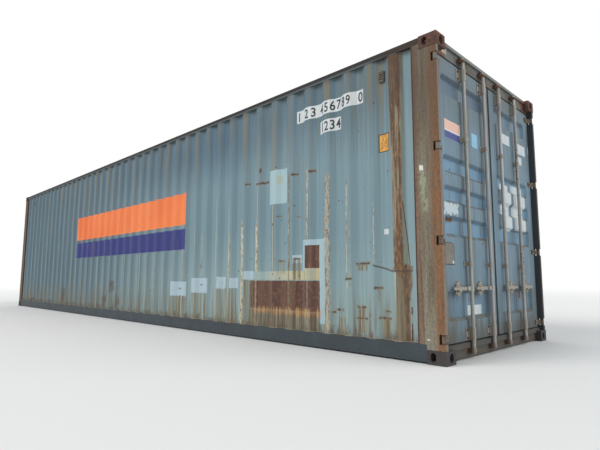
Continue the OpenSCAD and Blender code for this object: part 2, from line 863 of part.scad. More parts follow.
module bar_collars() {
    low_gap = 5;
    high_gap = 20;
    for (y = [bar_inner_y, bar_outer_y]) {
        t = side_y - y;
        for (z = [door_z0 + low_gap + end_collar_h / 2, door_z1 - high_gap - end_collar_h / 2])
            bar_collar(t, z, end_collar_h, end_plate_l);
        for (z = collar_z) bar_collar(t, z, guide_h, guide_plate_l);
    }
}

// Star shaped plate behind the handle and the shelf that it rests on
module handle_retainer(t) {
    plate_s = door_set - star_t;
    shelf_z = handle_z - handle_h / 2 - shelf_gap;
    translate([plate_s, t, handle_z]) rotate([0, 90, 0]) linear_extrude(star_t)
        for (turn = [0 : 45 : 135]) rotate(turn) square([star_l, star_w], center = true);
    box3d([handle_s, t - shelf_half, shelf_z - shelf_h], [plate_s, t + shelf_half, shelf_z]);
}

module handle_retainers() {
    for (y = [bar_inner_y, bar_outer_y]) handle_retainer(side_y - y - retainer_run);
}

// Locking bar of the left leaf with its cams and the ear that carries the handle
module lock_bar(y) {
    t = side_y - y;
    cap_t = 10;
    core_r = bar_r - 1;
    ring_h = 14;
    head_s = handle_s + handle_t + 1;
    difference() {
        translate([bar_s, t, bar_z0]) cylinder(r = bar_r, h = bar_z1 - bar_z0);
        translate([bar_s, t, bar_z0 - cap_t]) cylinder(r = bar_r - bar_wall, h = bar_z1 - bar_z0);
    }
    difference() {
        translate([bar_s, t, 0]) {
            for (z = [cam_z_low, cam_z_high]) {
                translate([0, 0, z]) cylinder(r = cam_base_r, h = cam_h);
                box3d([0, -cam_w / 2, z], [cam_reach, cam_w / 2, z + cam_h]);
            }
            translate([0, 0, ring_z]) cylinder(r = bar_r + ring_wall, h = ring_h, center = true);
            translate([0, 0, handle_z]) cylinder(r = bar_r + ring_wall, h = hub_h, center = true);
            translate([ear_s - bar_s, 0, handle_z]) rotate([0, 90, 0]) linear_extrude(ear_t) {
                box2d(-ear_half, -pivot_run, ear_half, 0);
                translate([0, -pivot_run]) circle(r = ear_half);
            }
        }
        translate([bar_s, t, 0]) cylinder(r = core_r, h = height);
    }
    translate([ear_s + 1, t - pivot_run, handle_z]) rotate([0, 90, 0])
        cylinder(r = pivot_r, h = head_s - ear_s);
    translate([head_s, t - pivot_run, handle_z]) rotate([0, 90, 0])
        cylinder(r = pivot_r + 4, h = head_t);
}

// Flat handle that hangs on the ear's pin and rests on the retainer's shelf
module door_handle(y) {
    t = side_y - y;
    grip_h = 0.75 * handle_h;
    neck_t = t - retainer_run - 40;
    color(galvanised) difference() {
        translate([handle_s, 0, handle_z]) rotate([0, 90, 0]) linear_extrude(handle_t) {
            translate([0, t - pivot_run]) circle(r = handle_h / 2);
            box2d(-handle_h / 2, neck_t, handle_h / 2, t - pivot_run);
            box2d(-grip_h / 2, t - handle_l + grip_h / 2, grip_h / 2, neck_t + eps);
            translate([0, t - handle_l + grip_h / 2]) circle(r = grip_h / 2);
        }
        translate([handle_s - 1, t - pivot_run, handle_z]) rotate([0, 90, 0])
            cylinder(r = pivot_r + run_clear, h = handle_t + 2);
    }
}

module left_door_frame() { color(paint) rear_left() door_frame(); }
module left_door_panel() { color(paint) rear_left() door_panel(); }
module left_door_seal() { color(rubber) rear_left() door_seal(); }
module left_hinge_blades() { color(galvanised) rear_left() hinge_blades(); }
module left_bar_collars() { color(galvanised) rear_left() bar_collars(); }
module left_handle_retainers() { color(galvanised) rear_left() handle_retainers(); }
module right_door_frame() { color(paint) rear_right() door_frame(); }
module right_door_panel() { color(paint) rear_right() door_panel(); }
module right_door_seal() { color(rubber) rear_right() door_seal(); }
module right_hinge_blades() { color(galvanised) rear_right() hinge_blades(); }
module right_bar_collars() { color(galvanised) rear_right() bar_collars(); }
module right_handle_retainers() { color(galvanised) rear_right() handle_retainers(); }
module lock_bar_1() { color(galvanised) rear_left() lock_bar(bar_outer_y); }
module lock_bar_2() { color(galvanised) rear_left() lock_bar(bar_inner_y); }
module lock_bar_3() { color(galvanised) rear_right() lock_bar(bar_inner_y); }
module lock_bar_4() { color(galvanised) rear_right() lock_bar(bar_outer_y); }
module handle_1() { rear_left() door_handle(bar_outer_y); }
module handle_2() { rear_left() door_handle(bar_inner_y); }
module handle_3() { rear_right() door_handle(bar_inner_y); }
module handle_4() { rear_right() door_handle(bar_outer_y); }

bottom_castings();
top_castings();
rear_post_left();
rear_post_right();
front_post_left();
front_post_right();
bottom_rail_left();
bottom_rail_right();
top_rail_left();
top_rail_right();
side_wall_left();
side_wall_right();
front_wall();
front_header();
front_sill();
roof();
floor_deck();  // floor
cross_members();
gooseneck_tunnel();
ventilators();
door_header();
door_sill();
header_keepers();
sill_keepers();
hinge_lugs();
left_door_frame();
left_door_panel();
left_door_seal();
left_hinge_blades();
left_bar_collars();
left_handle_retainers();
right_door_frame();
right_door_panel();
right_door_seal();
right_hinge_blades();
right_bar_collars();
right_handle_retainers();
lock_bar_1();
lock_bar_2();
lock_bar_3();
lock_bar_4();
handle_1();
handle_2();
handle_3();
handle_4();
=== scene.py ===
# Weathered forty foot high cube freight container: the finish of every surface around the packed
# frame, the corrugated sheets and pressed door panels as real bent steel, and the small fasteners.
import math
import bmesh
import bpy
import numpy as np
from mathutils import Matrix, Vector


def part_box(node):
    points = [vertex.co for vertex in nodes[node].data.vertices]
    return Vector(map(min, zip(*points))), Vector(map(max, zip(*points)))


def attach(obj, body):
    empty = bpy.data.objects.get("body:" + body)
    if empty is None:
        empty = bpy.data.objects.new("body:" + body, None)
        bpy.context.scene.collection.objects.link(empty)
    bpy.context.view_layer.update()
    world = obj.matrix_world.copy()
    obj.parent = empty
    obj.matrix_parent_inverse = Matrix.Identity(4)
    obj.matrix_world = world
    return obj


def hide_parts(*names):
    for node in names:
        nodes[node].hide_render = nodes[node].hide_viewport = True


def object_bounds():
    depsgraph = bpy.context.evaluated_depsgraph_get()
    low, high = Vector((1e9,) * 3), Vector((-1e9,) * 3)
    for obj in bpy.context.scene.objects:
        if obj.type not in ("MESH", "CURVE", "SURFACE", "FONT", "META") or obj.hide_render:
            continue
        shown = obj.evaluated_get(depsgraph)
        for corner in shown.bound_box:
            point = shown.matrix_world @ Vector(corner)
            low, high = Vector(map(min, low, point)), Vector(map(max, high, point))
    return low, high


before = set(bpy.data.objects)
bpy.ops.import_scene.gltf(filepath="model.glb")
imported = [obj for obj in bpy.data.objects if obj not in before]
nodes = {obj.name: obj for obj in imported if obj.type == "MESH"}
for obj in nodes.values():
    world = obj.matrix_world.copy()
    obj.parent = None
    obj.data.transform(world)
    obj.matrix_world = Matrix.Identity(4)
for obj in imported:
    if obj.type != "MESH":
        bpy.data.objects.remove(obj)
cad_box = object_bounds()
MM = 0.001

# Places read from the frame, in millimetres
wall_low, wall_high = [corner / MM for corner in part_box("side_wall_left")]
front_low, front_high = [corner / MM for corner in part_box("front_wall")]
panel_low, panel_high = [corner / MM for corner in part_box("left_door_panel")]
HEIGHT = cad_box[1][2] / MM

# Corrugation of the side walls, counted forward from the rear edge of an outer flat. The sheet
# begins in the slope between that flat and the next inner one. A fold is its pitch, outer flat,
# slope and bend, and the rows are those of the points up the sheet.
WALL_SHEET = 2
WALL_FLAT_OUT = 72
WALL_SLOPE = 68
WALL_FLAT_IN = 70
WALL_PITCH = WALL_FLAT_OUT + WALL_FLAT_IN + 2 * WALL_SLOPE
WALL_END_RUN = 29
WALL_START = wall_high.x + WALL_FLAT_OUT + WALL_SLOPE - WALL_END_RUN
WALL_DEPTH = wall_high.y - wall_low.y - WALL_SHEET
WALL_FOLD = (WALL_PITCH, WALL_FLAT_OUT, WALL_SLOPE, 9)
WALL_ROWS = 46

# Corrugation of the front wall, with an outer flat in the middle
FRONT_SHEET = 2
FRONT_FLAT_OUT = 104
FRONT_SLOPE = 18
FRONT_FLAT_IN = 110
FRONT_FOLD = (FRONT_FLAT_OUT + FRONT_FLAT_IN + 2 * FRONT_SLOPE, FRONT_FLAT_OUT, FRONT_SLOPE, 6)
FRONT_ROWS = 40
FRONT_DEPTH = front_high.x - front_low.x - FRONT_SHEET

# Recesses pressed into the door panels, and the dent in the left one: its place, half sizes and depth
PANEL_SHEET = 2
PANEL_RIM = 24
RECESS_DEPTH = panel_high.x - panel_low.x - PANEL_SHEET
RECESS_SLOPE = 34
RECESS_CORNER = 45
DOOR_DENT = (905, 1243, 60, 34, 11)
RECESSES = [(340, 610), (1085, 1275), (1390, 1550), (1665, 1830), (2400, 2587)]

# Locking gear
BAR_YS = (195, 650)
PLATE_X = 6036
LEAF_X = 6030
END_PLATES = (218, 2663)
GUIDE_PLATES = (850, 2025)
HANDLE_Z = 625
RETAINER_RUN = 195
HINGE_ZS = (211.7, 1033.9, 1854.9, 2668.3)
HINGE_BOLT_YS = (1145, 1118, 1088)
END_BOLT_RUN = 50
END_BOLT_RISE = 36
GUIDE_BOLT_RUN = 42
RIVET_CIRCLE = 50
DATA_PLATE = (-1066, -891, 834, 1032)


# Colour helpers

def tone(red, green, blue):
    """The linear colour of an 8 bit screen colour."""
    linear = [((part / 255 + 0.055) / 1.055) ** 2.4 for part in (red, green, blue)]
    return (*linear, 1.0)


RUST_DARK = (78, 50, 38)
RUST_MID = (110, 74, 54)
RUST_WARM = (138, 98, 70)
CREAM = (198, 192, 164)
STRAW = (166, 162, 138)
MOSS = (118, 118, 98)
SALMON = (176, 166, 146)


def maths(operation, swapped=False):
    """A method that joins a wire with other wires or numbers, swapped where they come first."""

    def method(self, *others):
        values = (*others, self) if swapped else (self, *others)
        return add_node(self.tree, "Math", dict(enumerate(values)), operation=operation)

    return method


class Wire:
    """A number or colour in a material's tree. Plain arithmetic on it makes the nodes."""

    def __init__(self, tree, socket):
        self.tree = tree
        self.socket = socket

    __add__ = __radd__ = maths("ADD")
    __mul__ = __rmul__ = maths("MULTIPLY")
    __sub__ = maths("SUBTRACT")
    __rsub__ = maths("SUBTRACT", True)
    __mod__ = maths("FLOORED_MODULO")
    size = maths("ABSOLUTE")
    floor = maths("FLOOR")
    least = maths("MINIMUM")
    most = maths("MAXIMUM")

    def step(self, start, end):
        """0 before start and 1 past end, with a soft change between them."""
        inputs = {"Value": self, "From Min": start, "From Max": end}
        return add_node(self.tree, "MapRange", inputs, "Result", interpolation_type="SMOOTHSTEP")


def put(tree, socket, value):
    """Links a wire to a socket, or writes a plain value on it. A colour with three parts is an
    8 bit screen colour."""
    if isinstance(value, Wire):
        tree.links.new(value.socket, socket)
    elif socket.type == "RGBA" and len(value) == 3:
        socket.default_value = tone(*value)
    else:
        socket.default_value = value


def add_node(tree, kind, inputs, output=0, **settings):
    """Adds a node with values or wires on its inputs, and returns one of its outputs."""
    node = tree.nodes.new("ShaderNode" + kind)
    for name, value in settings.items():
        setattr(node, name, value)
    for key, value in inputs.items():
        put(tree, node.inputs[key], value)
    return Wire(tree, node.outputs[output])


class Paint:
    """One material."""

    def __init__(self, name, across, colour, rough, metallic=0.0):
        self.material = bpy.data.materials.new(name)
        self.material.use_nodes = True
        self.tree = self.material.node_tree
        self.shader = self.tree.nodes["Principled BSDF"]
        self.shader.inputs["Metallic"].default_value = metallic
        self.place = self.add("TexCoord", {}, "Object")
        self.x, self.y, self.z = [part * (1 / MM) for part in self.parts(self.place)]
        self.flat = self.add("CombineXYZ", {"X": self.x if across == "X" else self.y, "Z": self.z})
        self.colour = colour
        self.rough = rough

    def add(self, kind, inputs, output=0, **settings):
        return add_node(self.tree, kind, inputs, output, **settings)

    def parts(self, vector):
        node = self.add("SeparateXYZ", {0: vector}).socket.node
        return [Wire(self.tree, socket) for socket in node.outputs]

    def vector(self, operation, *values):
        return self.add("VectorMath", dict(enumerate(values)), operation=operation)

    def normal(self):
        return self.parts(self.add("NewGeometry", {}, "Normal"))

    def spread(self, per_metre, seed):
        """The places for a texture, stretched along each axis and shifted by a seed."""
        return self.vector("MULTIPLY_ADD", self.place, per_metre, (seed * 3.1, seed * 1.7, seed * 2.3))

    def noise(self, per_metre, seed, detail=2.0, rough=0.5):
        """Soft noise around 0.5, with its features per metre along X, Y and Z."""
        place = self.spread(per_metre, seed)
        return self.add("TexNoise", {"Vector": place, "Scale": 1.0, "Detail": detail, "Roughness": rough})

    def cells(self, per_metre, seed):
        """Distance to the nearest of scattered points, in cells."""
        return self.add("TexVoronoi", {"Vector": self.spread(per_metre, seed), "Scale": 1.0}, "Distance")

    def chance(self, number, seed):
        """A random number from 0 to 1 for each whole number."""
        return self.add("TexWhiteNoise", {"W": number + seed * 13.37}, "Value", noise_dimensions="1D")

    def mix(self, factor, first, second):
        return self.add("Mix", {0: factor, 6: first, 7: second}, 2, data_type="RGBA")

    def blend(self, factor, first, second):
        return self.add("Mix", {0: factor, 2: first, 3: second})

    def rect(self, u0, u1, z0, z1):
        """Distance in millimetres to a rectangle, negative inside it."""
        centre = ((u0 + u1) / 2, 0, (z0 + z1) / 2)
        half = ((u1 - u0) / 2, 0, (z1 - z0) / 2)
        away = self.vector("ABSOLUTE", self.vector("SUBTRACT", self.flat, centre))
        across, _, upward = self.parts(self.vector("SUBTRACT", away, half))
        return across.most(upward)

    def rects(self, boxes):
        """Distance to the nearest of several rectangles."""
        nearest = self.rect(*boxes[0])
        for box in boxes[1:]:
            nearest = nearest.least(self.rect(*box))
        return nearest

    def inside(self, distance, edge=2.0):
        return distance.step(edge, -edge)

    def band(self, wire, low, high, soft):
        """1 between two values of a wire, fading out over a soft run."""
        return wire.step(low - soft, low + soft) * wire.step(high + soft, high - soft)

    def lay(self, mask, colour, rough=None):
        self.colour = self.mix(mask, self.colour, colour)
        if rough is not None:
            self.rough = self.blend(mask, self.rough, rough)

    def patch(self, boxes, ragged, colour, rough=None, edge=2.0, share=None):
        """Lays a colour over rectangles with ragged edges. Without boxes it adds nothing."""
        if boxes:
            mask = self.inside(self.rects(boxes) + ragged, edge)
            self.lay(mask if share is None else mask * share, colour, rough)

    def rust(self, seed):
        """Rust from dark brown to warm brown, in blotches and grains."""
        blotch = self.noise((7, 7, 5), seed, 3)
        grain = self.noise((60, 60, 45), seed + 1, 2)
        colour = self.mix(blotch.step(0.35, 0.62), RUST_DARK, RUST_MID)
        return self.mix(grain.step(0.45, 0.75) * 0.7, colour, RUST_WARM)

    def finish(self, height, depth, strength):
        """Ties the layers to the shader, with a bump whose depth is in metres."""
        bump = self.add("Bump", {"Distance": depth, "Strength": strength, "Height": height})
        for name, value in (("Base Color", self.colour), ("Roughness", self.rough), ("Normal", bump)):
            put(self.tree, self.shader.inputs[name], value)
        return self.material


# Side wall finish. Places are x and z on the left side, and the right side has the same

BARE_STEEL = [(3510, 4666, 362, 689), (4473, 4661, 824, 1067)]
FRESH_PAINT = [
    (3868, 4182, 1578, 1984), (4419, 4767, 1067, 1130), (4661, 4767, 250, 1067), (4419, 4473, 800, 1067),
]
PALE_BAND = (3417, 4455, 698, 797)
PALE_DRIPS = (4473, 4661, 698, 824)
WHITE_SQUARES = [
    (1617, 2092, 460, 669), (2200, 2631, 515, 720), (2853, 3012, 577, 733), (3137, 3277, 594, 720),
    (3432, 3569, 695, 804), (4283, 4403, 882, 970),
]
PLATES = [(4329, 5268, 2467, 2610), (4684, 4972, 2262, 2401), (5484, 5537, 1124, 1173)]
YELLOW_PLATE = (5444, 5573, 1912, 2092)
BAND = (-2250, 2050, 1135, 1970)
FAR_RUST = [(-3010, -2820, 245, 510), (-780, -665, 215, 365), (-500, -365, 500, 655), (-215, -65, 235, 440)]
SCRATCHES = [
    (5155, 5334, 850, 866), (5037, 5115, 702, 713), (5388, 5462, 620, 633), (5174, 5268, 432, 446),
    (5480, 5551, 408, 420), (5161, 5299, 328, 341), (5428, 5551, 346, 359), (4850, 4893, 373, 384),
    (4899, 5000, 399, 412), (5324, 5336, 366, 400), (4026, 4146, 906, 920), (4293, 4383, 925, 936),
    (3958, 3968, 1336, 1352), (3430, 3500, 1882, 1896), (3640, 3846, 1850, 1872), (3702, 3736, 1996, 2046),
    (4258, 4350, 1874, 1888), (4530, 4614, 1868, 1886), (4000, 4076, 1424, 1432), (4334, 4384, 1394, 1402),
    (1860, 1960, 560, 576), (2420, 2480, 620, 632),
]
DRIPS = [
    (5165, 5315, 790, 850), (5415, 5441, 500, 620), (5174, 5268, 330, 432), (5161, 5299, 200, 328),
    (5428, 5551, 190, 346), (4934, 5046, 162, 330), (4293, 4383, 700, 925), (4030, 4140, 760, 906),
    (1640, 2080, 162, 470), (2220, 2610, 162, 520), (2860, 3270, 162, 590), (3432, 3569, 162, 700),
]

# Long vertical marks: middle, half width, lower and upper end, colour and strength
MARKS = [
    (3378, 30, 162, 1407, CREAM, 1.0), (3660, 27, 180, 1370, CREAM, 1.0), (3943, 8, 799, 1576, MOSS, 0.8),
    (4228, 15, 690, 1900, MOSS, 0.8), (4512, 11, 1137, 1950, CREAM, 0.8),
    (4796, 36, 162, 1785, SALMON, 0.85), (5058, 9, 620, 1700, CREAM, 0.7), (5100, 8, 600, 1400, STRAW, 0.6),
    (5386, 8, 880, 1400, CREAM, 0.7), (2440, 20, 720, 1330, STRAW, 0.8), (2010, 9, 690, 1550, STRAW, 0.6),
    (3118, 14, 730, 1250, CREAM, 0.7), (1180, 12, 300, 900, STRAW, 0.6),
]
OVER_STEEL = [
    (3660, 20, 180, 780, STRAW, 0.6), (3943, 8, 200, 700, MOSS, 0.7), (4228, 14, 180, 900, MOSS, 0.75),
    (4512, 10, 190, 700, STRAW, 0.7),
]


# The long sides take one material for each stretch, so that no node tree grows too large. What
# lies within reach of a stretch is drawn on it.
WALL_STRETCHES = [(-7000, -1300), (-1300, 2600), (2600, 4900), (4900, 7000)]
STRETCH_REACH = 60


def wall_paint(name, low, high):
    """Chalky slate paint of one stretch of the long sides, with its rust, repairs and stains, and with
    painted shade and painted highlights.
    """
    paint = Paint(name, "X", (113, 140, 151), 0.62)
    lay = paint.lay
    x, z = paint.x, paint.z

    def local(boxes):
        return [box for box in boxes if box[0] < high + STRETCH_REACH and box[1] > low - STRETCH_REACH]

    # Distance from the middle of the nearest outer flat, and a number for each of them
    turn = WALL_START - WALL_FLAT_OUT / 2 + WALL_PITCH / 2 - x
    off_crest = turn % WALL_PITCH - WALL_PITCH / 2
    bay = (turn * (1 / WALL_PITCH)).floor()
    crest = off_crest.size().step(62, 30)
    cloud = paint.noise((0.9, 0.9, 0.7), 1, 3)
    fine = paint.noise((34, 34, 0.9), 2, 3, 0.6)
    veil = paint.noise((11, 11, 0.45), 3, 3, 0.6)
    ragged = paint.noise((26, 26, 22), 4, 3, 0.6)
    speck = paint.noise((90, 90, 70), 5, 2)
    # Painted shade and light: darker towards the top and paler towards the bottom
    lay(z.step(1850, 2600) * 0.9, (60, 90, 110))
    lay(z.step(1400, 300) * 0.85, (147, 171, 172))
    lay(cloud.step(0.35, 0.7) * 0.3, (134, 156, 160))
    # Painted shade: darker towards the closed end
    lay(x.step(2800, -3200) * 0.85, (82, 106, 118))
    lay(fine.step(0.5, 0.72) * 0.3, (98, 119, 127))
    lay(fine.step(0.5, 0.28) * 0.25, (144, 164, 166))
    # Painted shade on the slopes that face the doors, and a painted highlight on the inner flats, both
    # plainer towards the closed end
    far = x.step(3500, -1500)
    lay((off_crest + 50 - far * 36).size().step(78, 12) * (far * 0.5 + 0.12), (60, 84, 96))
    lay(off_crest.size().step(78, 122) * far * 0.5, (124, 145, 152))
    # Tan stains that run down from the top rail on the outer flats
    first, second, third = [paint.chance(bay, seed) for seed in (1, 2, 3)]
    reach = 2450 - 1100 * first
    stain = z.step(reach - 200, reach + 700) * crest * veil.step(0.36, 0.62)
    lay(stain * (0.3 + 0.65 * second), (128, 116, 90), 0.8)
    streaked = z.step(1300, 2700) * fine.step(0.5, 0.6) * x.step(2600, 5300)
    lay(streaked * 0.55, (112, 112, 92), 0.8)
    # Brown drips right under the top rail, partly a painted shade under the rail
    lay(z.step(2740, 2830) * veil.step(0.4, 0.7) * 0.6, (88, 78, 66), 0.8)
    # A pale line and a dark line beside it on most outer flats
    wander = (paint.noise((1.5, 1.5, 2.5), 6) - 0.5) * 26
    line = off_crest + wander + (second - 0.5) * 56
    lower = z.step(1150 + 900 * third, 800 + 700 * third) * veil.step(0.3, 0.5)
    lay(line.size().step(10, 3) * lower * third.step(0.15, 0.5) * 0.7, CREAM, 0.7)
    lay((line + 12).size().step(8, 2) * lower * first.step(0.3, 0.7) * 0.7, (98, 82, 68), 0.85)
    # Dirt near the bottom, with soft rust patches along the edge
    patchy = paint.noise((15, 15, 4), 9, 3)
    flaky = paint.noise((44, 44, 12), 17, 4, 0.7)
    lay(z.step(800, 220) * veil.step(0.4, 0.6) * 0.55, (124, 128, 112), 0.75)
    lay(z.step(640, 180) * fine.step(0.46, 0.6) * 0.7, (116, 102, 80), 0.8)
    foot = z + (patchy - 0.5) * 330 + (flaky - 0.5) * 160 - crest * 20
    lay(foot.step(232, 164) * (flaky.step(0.4, 0.6) * 0.6 + 0.2), (92, 72, 56), 0.88)
    if high > WALL_START:
        last_corrugation(paint, ragged, veil, fine)
    # Long marks that stand by themselves, frayed and with brown along their edges
    marks = [mark for mark in MARKS if low - STRETCH_REACH < mark[0] < high + STRETCH_REACH]
    frayed = (ragged - 0.5) * 3.4 + (flaky - 0.5) * 3.4 + 0.1
    worn = flaky.step(0.38, 0.5)

    def lay_marks(chosen):
        for place, wide, start, end, colour, strength in chosen:
            away = (x - place + wander * 0.4).size() + frayed * wide
            span = paint.band(z, start, end, 60) * strength
            chipped = paint.mix(worn, (116, 90, 70), colour)
            lay(away.step(wide + 5, wide - 8) * span, chipped, 0.75)

    lay_marks(marks)
    # Repairs in fresh paint, and squares where old marks were taken off
    edge = (ragged - 0.5) * 10
    paint.patch(local(FRESH_PAINT), edge, (162, 187, 194), 0.5)
    if local([FRESH_PAINT[0]]):
        spot = (x - 4055).size().most((z - 1860).size()) + (ragged - 0.5) * 130
        lay(spot.step(70, 20) * 0.6, (168, 170, 130), 0.7)
    if local([PALE_BAND]):
        pale = paint.mix(x.step(3550, 4300), (146, 172, 174), (186, 182, 154))
        paint.patch([PALE_BAND], edge * 2, pale, 0.6, 9)
        yellow = paint.mix(fine.step(0.42, 0.58), (196, 178, 128), (158, 166, 156))
        paint.patch([PALE_DRIPS], edge, yellow, 0.7, 5)
    paint.patch(local(WHITE_SQUARES), edge * 1.5, (170, 191, 201), 0.5)
    if local([BAND]):
        coloured_band(paint, ragged, speck, cloud, fine)
    if local(BARE_STEEL):
        bare_steel(paint, ragged, veil, fine)
        lay_marks(OVER_STEEL)
    # Small rust wounds and what runs down from them
    if local(DRIPS):
        runs = paint.inside(paint.rects(local(DRIPS)) + edge, 12)
        lay(runs * fine.step(0.4, 0.56) * 0.7, (136, 122, 92), 0.8)
        lay(runs * fine.step(0.55, 0.64) * 0.7, (104, 80, 60), 0.85)
    if local(SCRATCHES):
        wounds = paint.rects(local(SCRATCHES)) + (ragged - 0.5) * 46
        lay(wounds.step(16, 2) * 0.5, (134, 116, 86), 0.85)
        lay(wounds.step(4, -5) * 0.9, (80, 64, 54), 0.9)
    if local(FAR_RUST):
        share = flaky.step(0.4, 0.6) * 0.5 + 0.3
        paint.patch(local(FAR_RUST), (patchy - 0.5) * 320, (96, 80, 66), 0.9, 30, share)
    if high > WALL_START:
        scrape = (838 - (x - 5370) * 0.28).most(781)
        lay((z - scrape).size().step(14, 5) * paint.band(x, 5372, 5775, 14) * 0.8, (88, 74, 64), 0.9)
    pits = paint.cells((9, 9, 7), 16) + (speck - 0.5) * 0.3
    lay(pits.step(0.09, 0.05) * cloud.step(0.5, 0.62), RUST_DARK, 0.9)
    # Plates and stickers
    paint.patch(local(PLATES), 0, (206, 212, 214), 0.45, 1)
    paint.patch(local(PLATES), 0, (170, 168, 150), None, 1, fine.step(0.5, 0.7) * 0.4)
    if local([YELLOW_PLATE]):
        outer = paint.rect(*YELLOW_PLATE)
        face = paint.inside(outer + 9, 1)
        lay(paint.inside(outer, 1), (40, 38, 34), 0.5)
        lay(face, (218, 158, 66), 0.5)
        lay(face * ragged.step(0.46, 0.6) * 0.7, (160, 108, 54))
        lay(paint.inside(outer + 22, 4) * flaky.step(0.52, 0.6) * 0.6, (92, 70, 46))
    return paint.finish(ragged * 0.6 + speck * 0.4, 0.0016, 0.35)


def last_corrugation(paint, ragged, veil, fine):
    """Paint lost to rust on the last outer flat and around it, before the rear post."""
    x, z = paint.x, paint.z
    lay = paint.lay
    pale = paint.noise((30, 30, 1.4), 12, 4, 0.7)
    flakes = paint.noise((48, 48, 11), 13, 4, 0.7)
    shake = (ragged - 0.5) * 22 + (veil - 0.5) * 24
    # Tan streaks under the top rail beside the column
    tan = paint.band(x, 5345, 5590, 30) * z.step(2150, 2700) * fine.step(0.42, 0.58)
    lay(tan * 0.7, (118, 112, 92), 0.8)
    # A painted highlight: paler paint on the last outer flat
    lay(x.step(5722, 5740) * z.step(700, 900) * 0.4, (136, 160, 164))
    # Brown, orange and cream flakes of the column, darker near the top
    brown = paint.mix(flakes.step(0.47, 0.6), (100, 78, 60), (140, 106, 76))
    brown = paint.mix(z.step(1700, 2600) * 0.7, brown, (80, 62, 50))
    flaked = paint.mix(pale.step(0.5, 0.62) * z.step(2800, 2100), brown, (150, 142, 120))
    lay(paint.inside(paint.rect(5604, 5702, 800, 2900) + shake - z.step(1800, 2700) * 24, 9), flaked, 0.88)
    lay(paint.band(x, 5700, 5722, 12) * z.step(900, 1100) * 0.55, (112, 112, 94), 0.8)
    # Below a sideways scrape the rust narrows and leans towards the post
    lean = z.step(820, 300) * 24
    olive = paint.rect(5628, 5722, 140, 830) + shake - lean * 0.4
    flaked = paint.mix(pale.step(0.4, 0.54) * 0.7, (112, 90, 66), (130, 124, 100))
    lay(paint.inside(olive + z.step(600, 160) * 14, 16) * 0.9, flaked, 0.88)
    left = z.step(440, 640) * -18 + z.step(690, 830) * -110 + 5706
    right = z.step(480, 700) * 26 + z.step(740, 810) * 9 + 5744
    fan = (left - x).most(x - right).most(z - 862 + (x - 5690).size() * 0.5) + shake
    rusty = paint.mix(flakes.step(0.46, 0.6), (100, 78, 58), (138, 108, 78))
    lay(paint.inside(fan, 9) * 0.9, rusty, 0.88)
    crack = x - 5702 - (1400 - z) * 0.091 + (ragged - 0.5) * 10
    between = crack.step(8, -8) * x.step(5688, 5704) * paint.band(z, 830, 1380, 40)
    lay(between * (pale.step(0.4, 0.56) * 0.4 + 0.45), (122, 122, 102), 0.8)
    lay(crack.size().step(7, 2) * paint.band(z, 835, 1410, 25) * 0.85, RUST_DARK, 0.9)
    paint.patch([(5754, 5768, 400, 465), (5754, 5768, 176, 320)], (ragged - 0.5) * 20, RUST_DARK, 0.9, 4)


def coloured_band(paint, ragged, speck, cloud, fine):
    """A plain band in two colours in the middle of the side."""
    u0, u1, z0, z1 = BAND
    split = z0 + 0.4 * (z1 - z0)
    worn = (speck - 0.5) * 3 + (ragged - 0.5) * 3
    orange = paint.mix(cloud.step(0.35, 0.65), (238, 116, 52), (246, 132, 70))
    paint.patch([(u0, u1, split + 30, z1)], worn, orange, 0.5)
    paint.patch([(u0, u1, z0, split - 30)], worn, (34, 44, 118), 0.5)
    paint.patch([(u0, u1, z0, z1)], 0, (128, 120, 110), None, 2, fine.step(0.52, 0.75) * 0.3)


def bare_steel(paint, ragged, veil, fine):
    """Two rectangles sanded down to brown steel, with yellow rust at their lower edges."""
    bare = paint.inside(paint.rects(BARE_STEEL) + (ragged - 0.5) * 16, 3)
    below = paint.inside(paint.rect(3510, 4666, 130, 350) + (veil - 0.5) * 80, 20)
    paint.lay(below * 0.75, (120, 114, 94), 0.85)
    paint.lay(below * fine.step(0.42, 0.54) * 0.8, (96, 76, 58), 0.85)
    paint.lay(below * fine.step(0.42, 0.32) * 0.7, (158, 142, 108), 0.85)
    brown = paint.mix(veil.step(0.4, 0.6), (86, 60, 52), (108, 80, 66))
    brown = paint.mix(ragged.step(0.5, 0.66) * 0.5, brown, (130, 98, 78))
    paint.lay(bare, brown, 0.85)
    fringe = paint.rect(3590, 4666, 322, 372) + (fine - 0.5) * 190 + (veil - 0.5) * 60
    yellow = paint.mix(fine.step(0.4, 0.56), (192, 152, 98), (144, 102, 68))
    paint.lay(fringe.step(26, -26) * 0.8, yellow, 0.85)


def plain_paint(name, across, seed, colour, low_colour, stain_level=0.6, rust_level=0.3):
    """The same chalky paint where no special marks are known."""
    paint = Paint(name, across, colour, 0.62)
    z = paint.z
    lay = paint.lay
    cloud = paint.noise((0.9, 0.9, 0.7), seed, 3)
    fine = paint.noise((34, 34, 0.9), seed + 1, 3, 0.6)
    veil = paint.noise((9, 9, 0.45), seed + 2, 3, 0.6)
    ragged = paint.noise((24, 24, 20), seed + 3, 3, 0.6)
    speck = paint.noise((90, 90, 70), seed + 4, 2)
    lay(z.step(1700, 300) * 0.7, low_colour)
    lay(cloud.step(0.35, 0.7) * 0.4, (140, 162, 166))
    lay(fine.step(0.5, 0.72) * 0.4, (100, 118, 124))
    lay(z.step(1500, 2830) * veil.step(0.45, 0.65) * stain_level, (122, 112, 94), 0.8)
    lay(z.step(700, 180) * veil.step(0.35, 0.6) * 0.6, (124, 118, 98), 0.8)
    lost = (ragged - 0.5) * 2 + (cloud - 0.5) * 2 - rust_level * z.step(900, 100)
    lay(lost.step(-0.42, -0.62), paint.rust(seed + 5), 0.88)
    pits = paint.cells((9, 9, 7), seed + 6) + (speck - 0.5) * 0.3
    lay(pits.step(0.1, 0.05) * cloud.step(0.46, 0.6), RUST_DARK, 0.9)
    return paint.finish(ragged * 0.6 + speck * 0.4, 0.0016, 0.35)


# Door finish. Places are y and z at the rear end

